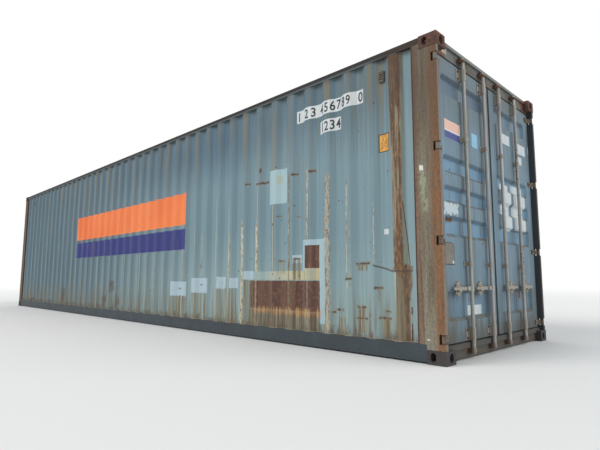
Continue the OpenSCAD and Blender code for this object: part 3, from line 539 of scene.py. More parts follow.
WHITE_LABELS = [
    (-588, -289, 377, 466), (301, 528, 1241, 1759), (601, 944, 1260, 1779), (340, 557, 2218, 2331),
    (781, 1040, 2189, 2307), (1140, 1160, 2240, 2330), (758, 914, 2059, 2148),
]
DOOR_STICKER = (-989, -679, 1992, 2164)
BLUE_STICKER = (-431, -307, 2012, 2152)
DAMAGED_LABEL = (-1046, -780, 1292, 1392)
DOOR_RUST = [(-980, -840, 1226, 1258), (700, 750, 500, 620), (430, 500, 560, 590)]


def door_paint(name):
    """Slate paint of the doors, with dust on the ledges, painted shade on the faces that look down, labels
    and scuffs.
    """
    paint = Paint(name, "Y", (103, 139, 164), 0.55)
    y, z = paint.y, paint.z
    lay = paint.lay
    cloud = paint.noise((2.2, 2.2, 1.6), 31, 3)
    fine = paint.noise((30, 30, 1.4), 32, 3, 0.6)
    veil = paint.noise((10, 10, 0.8), 33, 3, 0.6)
    ragged = paint.noise((30, 30, 26), 34, 3, 0.6)
    speck = paint.noise((100, 100, 80), 35, 2)
    up = paint.normal()[2]
    lay(z.step(2000, 2600) * 0.85, (80, 98, 114))
    lay(z.step(800, 250) * 0.8, (78, 98, 108))
    lay(cloud.step(0.4, 0.68) * 0.4, (124, 160, 184))
    lay(cloud.step(0.55, 0.35) * 0.3, (84, 106, 120))
    lay(fine.step(0.5, 0.75) * 0.3, (88, 108, 118))
    lay(fine.step(0.48, 0.25) * 0.3, (132, 160, 176))
    # The raised bands between the recesses are greyer than the floors of the recesses
    raised = paint.x.step(LEAF_X - 16, LEAF_X - 3) * (fine.step(0.3, 0.6) * 0.3 + 0.25)
    lay(raised, (104, 114, 112), 0.65)
    lay(up.step(0.15, 0.6) * veil.step(0.2, 0.5) * 0.85, (104, 104, 96), 0.85)
    # Painted shade on the faces that look down
    lay(up.step(-0.15, -0.6) * 0.4, (70, 80, 88))
    lay(z.step(460, 170) * veil.step(0.4, 0.62) * 0.8, (92, 84, 72), 0.85)
    lay(z.step(330, 180) * 0.5, (84, 82, 76), 0.85)
    lay(veil.step(0.56, 0.7) * 0.5, (104, 98, 84), 0.8)
    lay(paint.band(z, 500, 620, 60) * fine.step(0.38, 0.6) * 0.45, (92, 94, 82), 0.8)
    smudge = paint.rect(-1075, -965, 345, 440) + (cloud - 0.5) * 60
    lay(smudge.step(30, -40) * 0.7, (112, 104, 94), 0.8)
    # Grime that runs down behind the locking bars
    for bar in BAR_YS:
        away = (y.size() - bar + (veil - 0.5) * 60).size()
        lay(away.step(60, 15) * fine.step(0.4, 0.6) * 0.5, (84, 82, 76), 0.8)
    scuff = (y.size() - RETAINER_RUN - 260 + (cloud - 0.5) * 120).size().step(190, 90)
    lay(scuff * paint.band(z, 540, 650, 80) * ragged.step(0.48, 0.62) * 0.8, (112, 90, 76), 0.85)
    lost = paint.rects(DOOR_RUST) + (ragged - 0.5) * 70
    lay(paint.inside(lost + 10, 14) * 0.7, (120, 104, 86), 0.85)
    lay(paint.inside(lost, 5), paint.rust(36), 0.9)
    pits = paint.cells((8, 8, 7), 37) + (speck - 0.5) * 0.3
    lay(pits.step(0.1, 0.05) * cloud.step(0.45, 0.6), RUST_DARK, 0.9)
    # Labels, all bare
    edge = (ragged - 0.5) * 4
    paint.patch(WHITE_LABELS, edge, (198, 208, 212), 0.5, 1.5)
    paint.patch(WHITE_LABELS, 0, (160, 160, 150), None, 1, veil.step(0.5, 0.7) * 0.4)
    paint.patch([DAMAGED_LABEL], (ragged - 0.5) * 120, (186, 200, 206), 0.5)
    u0, u1, z0, z1 = DOOR_STICKER
    split = z0 + 0.42 * (z1 - z0)
    for box, colour in ((DOOR_STICKER, (214, 218, 222)), ((u0, u1, split + 6, z1), (228, 184, 168)),
                        ((u0, u1, z0, split - 6), (54, 66, 134)), (BLUE_STICKER, (134, 186, 214))):
        paint.patch([box], edge, colour, 0.45, 1)
    return paint.finish(ragged * 0.6 + speck * 0.4, 0.0014, 0.35)


def post_paint(name):
    """Posts that have lost most of their paint to brown rust, with olive grey streaks, and with painted
    shade and a painted highlight.
    """
    paint = Paint(name, "X", (124, 102, 88), 0.88)
    x, z = paint.x, paint.z
    lay = paint.lay
    along = x.size()
    rearward, outward, _ = paint.normal()
    ragged = paint.noise((30, 30, 20), 41, 3, 0.6)
    streak = paint.noise((34, 34, 1.2), 42, 4, 0.7)
    broad = paint.noise((9, 9, 0.5), 43, 3, 0.6)
    flakes = paint.noise((52, 52, 24), 46, 4, 0.75)
    grains = paint.noise((70, 70, 46), 47, 3, 0.7)
    speck = paint.noise((110, 110, 80), 44, 2)
    shake = (broad - 0.5) * 60 + (flakes - 0.5) * 120
    middle = paint.band(along + shake, 5888, 6012, 18)
    lay((along + shake).step(5980, 6030), (128, 94, 66))
    lay(flakes.step(0.49, 0.57) * 0.65, (148, 106, 74))
    lay(middle * 0.8, (116, 114, 100))
    lay(middle * streak.step(0.46, 0.58) * 0.7, (144, 141, 124), 0.8)
    lay(middle * grains.step(0.53, 0.6) * 0.5, (150, 132, 104), 0.8)
    lay(z.step(1200, 2500) * 0.6, (82, 66, 53))
    lay(flakes.step(0.47, 0.4) * 0.45, (90, 70, 56))
    lay(grains.step(0.46, 0.4) * 0.3, (90, 72, 58))
    lay(streak.step(0.47, 0.36) * 0.45, (82, 66, 54))
    lay(broad.step(0.54, 0.66) * streak.step(0.42, 0.58) * 0.5, paint.rust(45))
    lay(x.step(-5000, -5800) * 0.7, (78, 62, 52))
    # A painted shadow line where the post meets the side wall
    lay((along - 5843).size().step(8, 4) * 0.9, (50, 42, 37))
    # Paint that is left on the narrow end faces, pale on one side, where it is also a painted highlight, and
    # dark on the other, where it is also a painted shade
    left = rearward.step(0.6, 0.9) * along.step(6060, 6080) * paint.y.step(100, -100)
    lay(left * streak.step(0.7, 0.4) * 0.8, (122, 128, 128), 0.7)
    dark = x.step(5850, 5900) * paint.y.step(-100, 100) * outward.step(0.6, 0.3)
    lay(dark * 0.9, (48, 57, 62), 0.7)
    scrape = (x - 5922 - (1597 - z) * 0.09 + (ragged - 0.5) * 130).size().step(24, 8)
    lay(scrape * paint.band(z, 1290, 1660, 30) * 0.75, (146, 158, 132), 0.7)
    chips = paint.rects([(5896, 5932, 1658, 1702), (5922, 5952, 196, 206)])
    lay(paint.inside(chips + (ragged - 0.5) * 40, 2), (214, 218, 208), 0.6)
    return paint.finish(ragged * 0.5 + speck * 0.5, 0.003, 0.6)


def steel(name, seed, colour, rust_level, rough=0.6, streaks=0.4, bump=0.4, red=False, tint=None):
    """Weathered steel in one tone with blotches, streaks and rust where it is worn. A tint adds
    layers of its own."""
    paint = Paint(name, "X", colour, rough)
    cloud = paint.noise((5, 5, 5), seed, 3)
    streak = paint.noise((40, 40, 2), seed + 1, 3, 0.6)
    grain = paint.noise((70, 70, 60), seed + 2, 3, 0.6)
    darker, paler = [[min(1.0, part * way) for part in tone(*colour)[:3]] + [1.0] for way in (0.6, 1.3)]
    paint.lay(cloud.step(0.38, 0.62) * 0.5, darker)
    paint.lay(streak.step(0.5, 0.7) * streaks, paler)
    rust = paint.rust(seed + 3)
    if red:
        blotch = paint.noise((16, 16, 14), seed + 3, 3)
        rust = paint.mix(blotch.step(0.35, 0.65), (62, 38, 32), (112, 70, 56))
    lost = (grain - 0.5) + (cloud - 0.5) * 1.2 + (streak - 0.5) * 0.6
    paint.lay(lost.step(0.32 - rust_level, 0.4 - rust_level), rust, 0.88)
    if tint:
        tint(paint)
    return paint.finish(grain, 0.0015, bump)


def casting_tint(paint):
    """Cast corners are grey at the bottom of the box."""
    paint.lay(paint.z.step(400, 200) * 0.75, (60, 62, 64))


def bead_tint(paint):
    """Seams are tan along the floor and grey under the top rail."""
    paint.lay(paint.z.step(1200, 1600) * 0.9, (92, 102, 104))


def top_rail_tint(paint):
    """Top rails are brown near the doors, with the wall's paint along their lower edge."""
    paint.lay(paint.x.step(5300, 5700) * 0.7, (58, 44, 36), 0.85)
    edge = paint.z.step(HEIGHT - 36, HEIGHT - 54) * paint.x.step(5650, 5250)
    paint.lay(edge * 0.8, (80, 91, 94), 0.7)


def galvanised(name, seed, colour, cam_rust=0.0):
    """Dull zinc with small rust marks, and brown cams at both ends of the bars."""
    paint = Paint(name, "Y", colour, 0.55, 0.25)
    y, z = paint.y, paint.z
    lay = paint.lay
    spangle = paint.cells((60, 60, 40), seed)
    cloud = paint.noise((6, 6, 2), seed + 1, 3)
    grain = paint.noise((80, 80, 50), seed + 2, 3, 0.6)
    streak = paint.noise((60, 60, 2.2), seed + 3, 3, 0.6)
    lay((y + BAR_YS[1]).size().step(50, 30) * 0.6, (156, 158, 142))
    lay((y + BAR_YS[0]).size().step(50, 30) * 0.5, (170, 160, 158))
    lay(spangle.step(0.2, 0.7) * 0.3, (150, 150, 146))
    lay(cloud.step(0.42, 0.62) * 0.5, (146, 142, 132))
    lay(streak.step(0.5, 0.68) * 0.5, (122, 112, 98), 0.7)
    worn = grain * 0.7 + cloud * 0.6
    lay(worn.step(0.76, 0.9) * 0.9, paint.rust(seed + 4), 0.88)
    cams = (z.step(100, 92) * 0.4).most(paint.band(z, 2788, 2822, 2))
    lay(cams * cam_rust, paint.rust(seed + 5), 0.9)
    return paint.finish(grain, 0.0008, 0.4)


def data_plate(name):
    """Tan grey plate without lettering, with one small white square."""
    paint = Paint(name, "Y", (118, 116, 106), 0.5)
    cloud = paint.noise((14, 14, 10), 211, 3)
    grain = paint.noise((90, 90, 60), 212, 3, 0.6)
    paint.lay(cloud.step(0.4, 0.62) * 0.6, (100, 96, 86), 0.6)
    paint.lay(grain.step(0.55, 0.7) * 0.4, (136, 134, 126))
    paint.lay(paint.inside(paint.rect(-928, -902, 846, 872), 1), (206, 210, 210), 0.5)
    return paint.finish(grain, 0.0006, 0.3)


def rubber(name):
    paint = Paint(name, "Y", (38, 40, 42), 0.75)
    cloud = paint.noise((8, 8, 2), 61, 3)
    grain = paint.noise((120, 120, 100), 62, 2)
    paint.lay(cloud.step(0.4, 0.65) * 0.6, (62, 62, 58), 0.85)
    paint.lay(grain.step(0.55, 0.75) * 0.4, (26, 27, 29))
    return paint.finish(grain, 0.0006, 0.4)


def plywood(name):
    """Worn plywood boards with grain along the container, scuffs and tyre marks."""
    paint = Paint(name, "X", (140, 106, 72), 0.7)
    grain = paint.noise((3, 46, 30), 71, 4, 0.65)
    rays = paint.noise((9, 190, 60), 72, 2)
    cloud = paint.noise((1.1, 1.6, 1), 73, 3)
    scuffs = paint.noise((1.2, 14, 1), 74, 3)
    paint.lay(grain.step(0.38, 0.64) * 0.7, (104, 74, 48))
    paint.lay(rays.step(0.5, 0.72) * 0.45, (168, 132, 94))
    paint.lay(cloud.step(0.42, 0.66) * 0.6, (96, 82, 66), 0.8)
    paint.lay(scuffs.step(0.56, 0.7) * 0.6, (60, 54, 48), 0.6)
    return paint.finish(grain * 0.7 + rays * 0.3, 0.0012, 0.5)


def roof_paint(name):
    """Roof paint, chalked by the sun, with rust in the hollows."""
    paint = Paint(name, "X", (132, 152, 158), 0.68)
    cloud = paint.noise((0.8, 1.4, 1), 81, 4)
    puddle = paint.noise((3, 3, 3), 82, 3)
    grain = paint.noise((40, 40, 40), 83, 3, 0.6)
    hollow = paint.z.step(HEIGHT - 8, HEIGHT - 28)
    paint.lay(cloud.step(0.35, 0.65) * 0.5, (150, 168, 172))
    paint.lay(puddle.step(0.45, 0.65) * (0.3 + 0.5 * hollow), (120, 112, 96), 0.8)
    lost = grain * 0.7 + puddle * 0.8 + hollow * 0.1
    paint.lay(lost.step(0.93, 1.0), paint.rust(84), 0.88)
    return paint.finish(grain, 0.0014, 0.4)


def header_paint(name):
    """Grey weathered face of the door header and sill, with rust, one pale scar and a painted highlight
    along the top lip.
    """
    paint = Paint(name, "Y", (94, 98, 96), 0.7)
    y, z = paint.y, paint.z
    lay = paint.lay
    cloud = paint.noise((4, 4, 4), 91, 3)
    streak = paint.noise((30, 30, 6), 92, 3, 0.6)
    ragged = paint.noise((30, 30, 30), 93, 3, 0.6)
    lay(streak.step(0.45, 0.65) * 0.5, (114, 112, 104))
    lay(cloud.step(0.42, 0.62) * 0.7, (82, 76, 68), 0.8)
    # A painted highlight along the top lip
    lay(z.step(2856, 2862) * 0.6, (132, 138, 138))
    lay(z.step(1400, 1000) * 0.8, (68, 68, 66), 0.8)
    near = (y.size() - 1040 + (cloud - 0.5) * 260).size().step(150, 60)
    lay(near * z.step(2700, 2760) * 0.9, paint.rust(94), 0.88)
    scar = (y + 950 + (ragged - 0.5) * 80).size().step(60, 30) * paint.band(z, 2800, 2850, 16)
    lay(scar * ragged.step(0.42, 0.5), (190, 186, 164), 0.7)
    lay(z.step(160, 90) * ragged.step(0.4, 0.6) * 0.8, (92, 84, 74), 0.85)
    lost = ragged * 0.7 + cloud * 0.7
    lay(lost.step(0.78, 0.88), paint.rust(95), 0.88)
    return paint.finish(ragged, 0.0016, 0.4)


# Plain steels: seed, colour, rust level, roughness, streaks, bump, red rust or not, and tint
STEELS = {
    "rail": (121, (56, 66, 72), 0.06),
    "top_rail": (131, (26, 23, 22), 0.04, 0.75, 0.2, 0.4, False, top_rail_tint),
    "casting": (141, (84, 62, 54), 0.3, 0.88, 0.2, 0.8, True, casting_tint),
    "keeper": (151, (84, 66, 56), 0.25, 0.85, 0.3, 0.6),
    "ventilator": (171, (76, 70, 56), 0.15),
    "weld_bead": (181, (150, 140, 116), 0.1, 0.75, 0.4, 0.4, False, bead_tint),
    "bolt": (191, (70, 58, 52), 0.2, 0.8),
    "ink": (201, (34, 34, 36), -0.2),
    "hinge": (221, (112, 106, 94), 0.2, 0.75),
    "plate_frame": (241, (66, 66, 62), 0.05),
}
MATERIALS = {
    "front": plain_paint("closed_end_finish", "Y", 101, (118, 142, 150), (134, 152, 152)),
    "lining": plain_paint("lining_finish", "X", 111, (150, 160, 158), (140, 146, 140), 0.3, 0.1),
    "door": door_paint("door_leaf_finish"),
    "post": post_paint("post_finish"),
    "roof": roof_paint("roof_finish"),
    "header": header_paint("header_finish"),
    "bar": galvanised("bar_finish", 161, (184, 182, 178), 0.95),
    "bracket": galvanised("bracket_finish", 231, (158, 150, 138)),
    "plate": data_plate("data_plate_finish"),
    "rubber": rubber("seal_finish"),
    "floor": plywood("floor_board_finish"),
}
for key, values in STEELS.items():
    MATERIALS[key] = steel(f"{key}_finish", *values)
for number, (low, high) in enumerate(WALL_STRETCHES):
    MATERIALS[f"side_{number}"] = wall_paint(f"long_side_finish_{number}", low, high)


# Mesh helpers

def piece_from(name, mesh, body, slot, *materials):
    """Puts a finished mesh in the scene as a piece that rides on a body."""
    for material in materials:
        mesh.materials.append(MATERIALS[material])
    piece = bpy.data.objects.new(name, mesh)
    bpy.context.scene.collection.objects.link(piece)
    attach(piece, body)
    return piece


def tidy_mesh(mesh, angle=35):
    """Points all faces outwards and shades the mesh smooth up to an angle."""
    work = bmesh.new()
    work.from_mesh(mesh)
    bmesh.ops.recalc_face_normals(work, faces=work.faces)
    work.to_mesh(mesh)
    work.free()
    mesh.shade_smooth()
    mesh.set_sharp_from_angle(angle=math.radians(angle))


def shell_mesh(name, front, back, stretches=()):
    """A closed sheet from two grids of points. Its front takes one material for each stretch
    of rows, given by their first rows, and its back takes the material after those."""
    rows, columns = front.shape[:2]
    points = np.concatenate([front.reshape(-1, 3), back.reshape(-1, 3)]) * MM
    index = np.arange(rows * columns).reshape(rows, columns)
    under = index + rows * columns

    def quads(a, b, c, d):
        return np.stack([a.ravel(), b.ravel(), c.ravel(), d.ravel()], 1)

    faces = [quads(g[:-1, :-1], g[1:, :-1], g[1:, 1:], g[:-1, 1:]) for g in (index, under)]
    for near, far in ((index[0], under[0]), (index[-1], under[-1]), (index[:, 0], under[:, 0]),
                      (index[:, -1], under[:, -1])):
        faces.append(quads(near[:-1], near[1:], far[1:], far[:-1]))
    mesh = bpy.data.meshes.new(name)
    mesh.from_pydata(points.tolist(), [], np.concatenate(faces).tolist())
    row_of_face = np.repeat(np.arange(rows - 1), columns - 1)
    material = np.zeros(sum(len(part) for part in faces), np.int32)
    for first in stretches:
        material[:len(faces[0])] += row_of_face >= first
    material[len(faces[0]):len(faces[0]) + len(faces[1])] = len(stretches) + 1
    mesh.polygons.foreach_set("material_index", material)
    tidy_mesh(mesh)
    return mesh


def fold(run, pitch, outer, slope):
    """How far in a folded sheet lies at a run: 0 on an outer flat and 1 on an inner flat."""
    phase = np.mod(run, pitch)
    down = np.clip((phase - outer) / slope, 0, 1)
    return np.minimum(down, np.clip((pitch - phase) / slope, 0, 1))


def rounded_fold(run, pitch, outer, slope, bend):
    """The same fold with its bends rounded over a run of twice the bend."""
    shifts = np.linspace(-bend, bend, 9)
    return np.mean([fold(run + shift, pitch, outer, slope) for shift in shifts], 0)


def fold_stations(start, end, pitch, outer, slope, bend):
    """Runs at which a folded sheet needs a column of points."""
    inner_end = pitch - slope
    corners = np.array([0, outer, outer + slope, inner_end])
    offsets = np.array([-bend, -bend / 3, bend / 3, bend])
    first = math.floor(start / pitch)
    last = math.ceil(end / pitch)
    stations = [k * pitch + corner + offset for k in range(first, last + 1) for corner in corners
                for offset in offsets]
    kept = [station for station in stations if start + 4 < station < end - 4]
    return np.array([start, *kept, end])


SIDE_RUNS = fold_stations(WALL_START - wall_high.x, WALL_START - wall_low.x, *WALL_FOLD)

# Dents in the side walls: x, z, half length, half height and depth in millimetres
DENTS = [
    (5253, 850, 90, 50, 8), (5490, 800, 110, 50, 8), (5440, 580, 50, 90, 6), (5244, 400, 70, 70, 7),
    (5505, 350, 70, 80, 7), (5745, 1040, 40, 160, 9), (4110, 900, 120, 110, 8), (3500, 1000, 140, 220, 7),
    (2400, 560, 130, 100, 9), (1900, 520, 150, 120, 9), (900, 600, 160, 200, 8), (-400, 520, 170, 160, 10),
    (-2900, 420, 160, 180, 10), (-4300, 700, 200, 260, 8), (4900, 1500, 160, 300, 6),
    (200, 2300, 200, 200, 6),
]


def side_wall_point(x, z):
    """Depth of the left wall behind its outer flats at x and z, dents included."""
    folded = rounded_fold(WALL_START - x, *WALL_FOLD)
    dent = 1.1 * (1 + np.sin(x / 410 + z / 530) * np.sin(x / 933 - z / 350 + 2))
    for cx, cz, long, tall, deep in DENTS:
        dent = dent + deep * np.exp(-((x - cx) / long) ** 2 - ((z - cz) / tall) ** 2)
    edge = np.minimum(z - wall_low.z, wall_high.z - z)
    dent = dent * np.clip(edge / 120, 0, 1)
    return WALL_DEPTH * folded + dent * (1 - 0.7 * folded)


def side_wall(side):
    """The corrugated sheet of one long side."""
    sign = -1 if side == "left" else 1
    heights = np.linspace(wall_low.z, wall_high.z, WALL_ROWS)
    x, z = np.meshgrid(WALL_START - SIDE_RUNS, heights, indexing="ij")
    out = -wall_low.y - side_wall_point(x, z)
    front = np.stack([x, sign * out, z], 2)
    back = np.stack([x, sign * (out - WALL_SHEET), z], 2)
    starts = [int(np.searchsorted(SIDE_RUNS, WALL_START - high)) for low, high in WALL_STRETCHES[::-1][1:]]
    mesh = shell_mesh(f"{side}_wall_sheet", front, back, starts)
    paints = [f"side_{number}" for number in range(len(WALL_STRETCHES))][::-1]
    piece = piece_from(f"{side}_wall_sheet", mesh, "root", "wall_paint", *paints, "lining")
    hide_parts(f"side_wall_{side}")


def front_wall():
    """The corrugated sheet of the closed end."""
    shift = FRONT_FLAT_OUT / 2
    start, end = front_low.y + shift, front_high.y + shift
    runs = fold_stations(start, end, *FRONT_FOLD)
    y, z = np.meshgrid(runs - shift, np.linspace(front_low.z, front_high.z, FRONT_ROWS), indexing="ij")
    folded = rounded_fold(y + shift, *FRONT_FOLD)
    edge = np.clip(np.minimum(z - front_low.z, front_high.z - z) / 150, 0, 1)
    dent = edge * 1.5 * (1 + np.sin(y / 300 + z / 420) * np.sin(y / 170 - z / 610))
    x = front_low.x + FRONT_DEPTH * folded + dent * (1 - folded)
    front = np.stack([x, y, z], 2)
    back = np.stack([x + FRONT_SHEET, y, z], 2)
    mesh = shell_mesh("front_wall_sheet", front, back)
    piece = piece_from("front_wall_sheet", mesh, "root", "wall_paint", "front", "lining")
    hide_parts("front_wall")


def ease(value):
    """A slope from 0 to 1 with rounded ends."""
    value = np.clip(value, 0, 1)
    return 0.45 * value + 0.55 * value * value * (3 - 2 * value)


def door_panel_depth(y, z):
    """Depth of a door panel behind its rim, from y as a distance from the middle."""
    inner = -panel_high.y + PANEL_RIM
    outer = -panel_low.y - PANEL_RIM
    depth = np.zeros_like(y)
    for low, high in RECESSES:
        across = np.minimum(y - inner, outer - y)
        upward = np.minimum(z - low, high - z)
        corner_a = np.clip(RECESS_CORNER - across, 0, None)
        corner_b = np.clip(RECESS_CORNER - upward, 0, None)
        rounded = RECESS_CORNER - np.hypot(corner_a, corner_b)
        reach = np.where((across < RECESS_CORNER) & (upward < RECESS_CORNER), rounded,
                         np.minimum(across, upward))
        depth = np.maximum(depth, ease(reach / RECESS_SLOPE))
    return RECESS_DEPTH * depth


def panel_stations(low, high, edges, fine=8, coarse=42):
    """Stations from low to high, close together within reach of the edges of the recesses."""
    reach = RECESS_SLOPE + RECESS_CORNER
    stations = [low]
    while stations[-1] < high:
        here = stations[-1]
        near = any(-fine <= (here - edge) * way <= reach - 20 for edge, way in edges)
        ahead = [edge - (reach - 20 if way < 0 else 0) - here for edge, way in edges]
        gaps = [gap for gap in ahead if gap > 0.5]
        step = fine if near else min([coarse, *gaps])
        stations.append(here + step)
    stations[-1] = high
    if stations[-1] - stations[-2] < 2:
        stations.pop(-2)
    return np.array(stations)


def door_panel(side):
    """The pressed sheet of one leaf."""
    sign = -1 if side == "left" else 1
    inner, outer = -panel_high.y, -panel_low.y
    ys = panel_stations(inner, outer, [(inner + PANEL_RIM, 1), (outer - PANEL_RIM, -1)])
    edges = [pair for low, high in RECESSES for pair in ((low, 1), (high, -1))]
    zs = panel_stations(panel_low.z, panel_high.z, edges)
    y, z = np.meshgrid(ys, zs, indexing="ij")
    rim = np.minimum(np.minimum(y - inner, outer - y), np.minimum(z - zs[0], zs[-1] - z))
    edge = np.clip(rim / 120, 0, 1)
    dent = edge * 1.2 * (1 + np.sin(y / 190 + z / 310 + sign) * np.sin(y / 90 - z / 450))
    if side == "left":
        cy, cz, wide, tall, deep = DOOR_DENT
        dent = dent + deep * np.exp(-((y - cy) / wide) ** 2 - ((z - cz) / tall) ** 2)
    x = panel_high.x - door_panel_depth(y, z) - dent
    front = np.stack([x, sign * y, z], 2)
    back = np.stack([x - PANEL_SHEET, sign * y, z], 2)
    mesh = shell_mesh(f"{side}_door_sheet", front, back)
    piece = piece_from(f"{side}_door_sheet", mesh, f"{side}_door", "door_paint", "door", "lining")
    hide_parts(f"{side}_door_panel")


class Cluster:
    """Collects many small closed shapes into one mesh."""

    def __init__(self):
        self.points = []
        self.faces = []

    def ring(self, rings):
        """A closed shape through rings of points, with both ends capped."""
        start = len(self.points)
        count = len(rings[0])
        last = start + (len(rings) - 1) * count
        self.points.extend(tuple(point) for ring in rings for point in ring)
        self.faces.append(tuple(range(start, start + count)))
        for row in range(start, last, count):
            for k in range(count):
                a = row + k
                b = row + (k + 1) % count
                self.faces.append((a, b, b + count, a + count))
        self.faces.append(tuple(range(last, last + count)))

    def turned(self, centre, axis, profile, sides=10):
        """A shape turned about an axis through a centre, from pairs of height and radius."""
        axis = Vector(axis).normalized()
        first = axis.orthogonal().normalized()
        second = axis.cross(first)
        centre = Vector(centre)
        rings = []
        for height, radius in profile:
            rings.append([centre + axis * height
                          + radius * (math.cos(k * math.tau / sides) * first
                                      + math.sin(k * math.tau / sides) * second) for k in range(sides)])
        self.ring(rings)

    def bolt(self, centre, axis, radius=10, sides=6):
        """A hexagonal head on a washer."""
        self.turned(centre, axis, [(-0.5, radius * 1.35), (1.5, radius * 1.35), (1.6, radius * 1.2)], 16)
        head = [(1, radius), (radius * 0.6, radius), (radius * 0.72, radius * 0.8)]
        self.turned(centre, axis, head, sides)

    def dome(self, centre, axis, radius=9):
        """A round rivet or carriage bolt head."""
        turns = [step * math.pi / 2 for step in (0, 0.3, 0.6, 0.85)]
        profile = [(radius * 0.55 * math.sin(turn), radius * math.cos(turn)) for turn in turns]
        self.turned(centre, axis, [(-0.5, radius), *profile], 12)

    def piece(self, name, body, slot, material, angle=35):
        mesh = bpy.data.meshes.new(name)
        mesh.from_pydata([tuple(MM * part for part in point) for point in self.points], [], self.faces)
        tidy_mesh(mesh, angle)
        return piece_from(name, mesh, body, slot, material)


def bead(cluster, path, radius, sides=6):
    """A weld bead along a path of points."""
    path = np.array(path, float)
    along = np.gradient(path, axis=0)
    along /= np.linalg.norm(along, axis=1)[:, None]
    up = np.array([0, 0, 1.0])
    side = np.cross(along, up)
    side /= np.linalg.norm(side, axis=1)[:, None]
    rise = np.cross(side, along)
    angles = np.arange(sides) * math.tau / sides
    rings = [[path[i] + radius * (math.cos(a) * side[i] + math.sin(a) * rise[i]) for a in angles]
             for i in range(len(path))]
    cluster.ring(rings)


def wall_beads():
    """Seams of sealant where the side walls meet the rails."""
    for side, sign in (("left", -1), ("right", 1)):
        cluster = Cluster()
        x = WALL_START - SIDE_RUNS
        for z, radius in ((wall_low.z + 1, 4.5), (wall_high.z - 1, 3.5)):
            out = -wall_low.y - side_wall_point(x, np.full_like(x, z))
            bead(cluster, np.stack([x, sign * (out + 1), np.full_like(x, z)], 1), radius)
        cluster.piece(f"{side}_wall_seams", "root", "wall_paint", "weld_bead")


def door_fasteners(side):
    """Bolts on the bar guides and hinge blades, and rivets on the handle retainers."""
    sign = -1 if side == "left" else 1
    cluster = Cluster()
    for y in BAR_YS:
        for z in END_PLATES:
            for dz in (-END_BOLT_RISE, END_BOLT_RISE):
                cluster.bolt((PLATE_X, sign * (y + END_BOLT_RUN), z + dz), (1, 0, 0), 10)
        for z in GUIDE_PLATES:
            cluster.bolt((PLATE_X, sign * (y + GUIDE_BOLT_RUN), z), (1, 0, 0), 7)
        for turn in (45, 135, 225, 315):
            dy = RIVET_CIRCLE * math.cos(math.radians(turn))
            dz = RIVET_CIRCLE * math.sin(math.radians(turn))
            cluster.dome((PLATE_X + 2, sign * (y + RETAINER_RUN) + dy, HANDLE_Z + dz), (1, 0, 0), 7)
    for z in HINGE_ZS:
        for y in HINGE_BOLT_YS:
            cluster.dome((LEAF_X + 12, sign * y, z), (1, 0, 0), 8)
    cluster.piece(f"{side}_door_fasteners", f"{side}_door", "keeper_steel", "bolt")


def door_plate():
    """A framed plate without lettering on the left leaf, with rounded upper corners."""
    for name, inset, out, material in (("data_plate_frame", 0, 2, "plate_frame"),
                                       ("data_plate_face", 8, 3, "plate")):
        low_y, high_y = DATA_PLATE[0] + inset, DATA_PLATE[1] - inset
        low_z, high_z = DATA_PLATE[2] + inset, DATA_PLATE[3] - inset
        radius = 42 - inset
        outline = [(low_y, low_z), (high_y, low_z)]
        for middle, start in ((high_y - radius, 0), (low_y + radius, 90)):
            for step in range(9):
                turn = math.radians(start + step * 90 / 8)
                outline.append((middle + radius * math.cos(turn), high_z - radius + radius * math.sin(turn)))
        cluster = Cluster()
        cluster.ring([[(x, y, z) for y, z in outline] for x in (LEAF_X - 2, LEAF_X + out)])
        cluster.piece(name, "left_door", "door_paint", material)


# Digits, in rows of a height and the places along the wall. They stand a little off the paint.

DIGIT_HEIGHT = 104
DIGIT_SQUEEZE = 0.85
INK_GAP = 0.2
INK_DEPTH = 0.6
DIGIT_ROWS = [(2538, (4362, 4500, 4592, 4712, 4793, 4871, 4944, 5018, 5091, 5229)),
              (2332, (4724, 4796, 4867, 4937))]


def digits(name, numerals, places, surface):
    """Plain numerals that lie on a wall. surface(x, proud, z) gives the place of a point on it."""
    whole = bmesh.new()
    for numeral, place in zip(numerals, places):
        curve = bpy.data.curves.new("numeral", "FONT")
        curve.body = numeral
        curve.resolution_u = 3
        curve.extrude = 0.5
        curve.offset = 0.014
        source = bpy.data.objects.new("numeral", curve)
        mesh = bpy.data.meshes.new_from_object(source)
        points = np.array([vertex.co for vertex in mesh.vertices])
        low, high = points.min(0), points.max(0)
        scale = DIGIT_HEIGHT / (high[1] - low[1])
        for vertex, point in zip(mesh.vertices, points):
            across = (point[0] - (low[0] + high[0]) / 2) * scale * DIGIT_SQUEEZE
            vertex.co = (place[0] - surface.sign * across, point[2],
                         (point[1] - (low[1] + high[1]) / 2) * scale + place[1])
        whole.from_mesh(mesh)
        bpy.data.objects.remove(source)
        bpy.data.curves.remove(curve)
        bpy.data.meshes.remove(mesh)
    bmesh.ops.remove_doubles(whole, verts=whole.verts, dist=0.001)
    low = min(vertex.co.x for vertex in whole.verts)
    high = max(vertex.co.x for vertex in whole.verts)
    for bend in surface.bends:
        if low < bend < high:
            everything = whole.verts[:] + whole.edges[:] + whole.faces[:]
            bmesh.ops.bisect_plane(whole, geom=everything, plane_co=(bend, 0, 0), plane_no=(1, 0, 0))
    bmesh.ops.triangulate(whole, faces=whole.faces)
    for vertex in whole.verts:
        vertex.co = surface(vertex.co.x, vertex.co.y, vertex.co.z)
    mesh = bpy.data.meshes.new(name)
    whole.to_mesh(mesh)
    whole.free()
    tidy_mesh(mesh, 30)
    return piece_from(name, mesh, "root", "wall_paint", "ink")


class WallSurface:
    """Where a point of a flat drawing lands on a side wall."""

    def __init__(self, sign):
        self.sign = sign
        self.bends = [WALL_START - run for run in SIDE_RUNS]

    def __call__(self, x, proud, z):
        out = -wall_low.y - side_wall_point(np.array(float(x)), np.array(float(z)))
        return Vector((x, self.sign * (float(out) + INK_GAP + INK_DEPTH * (proud > 0)), z)) * MM


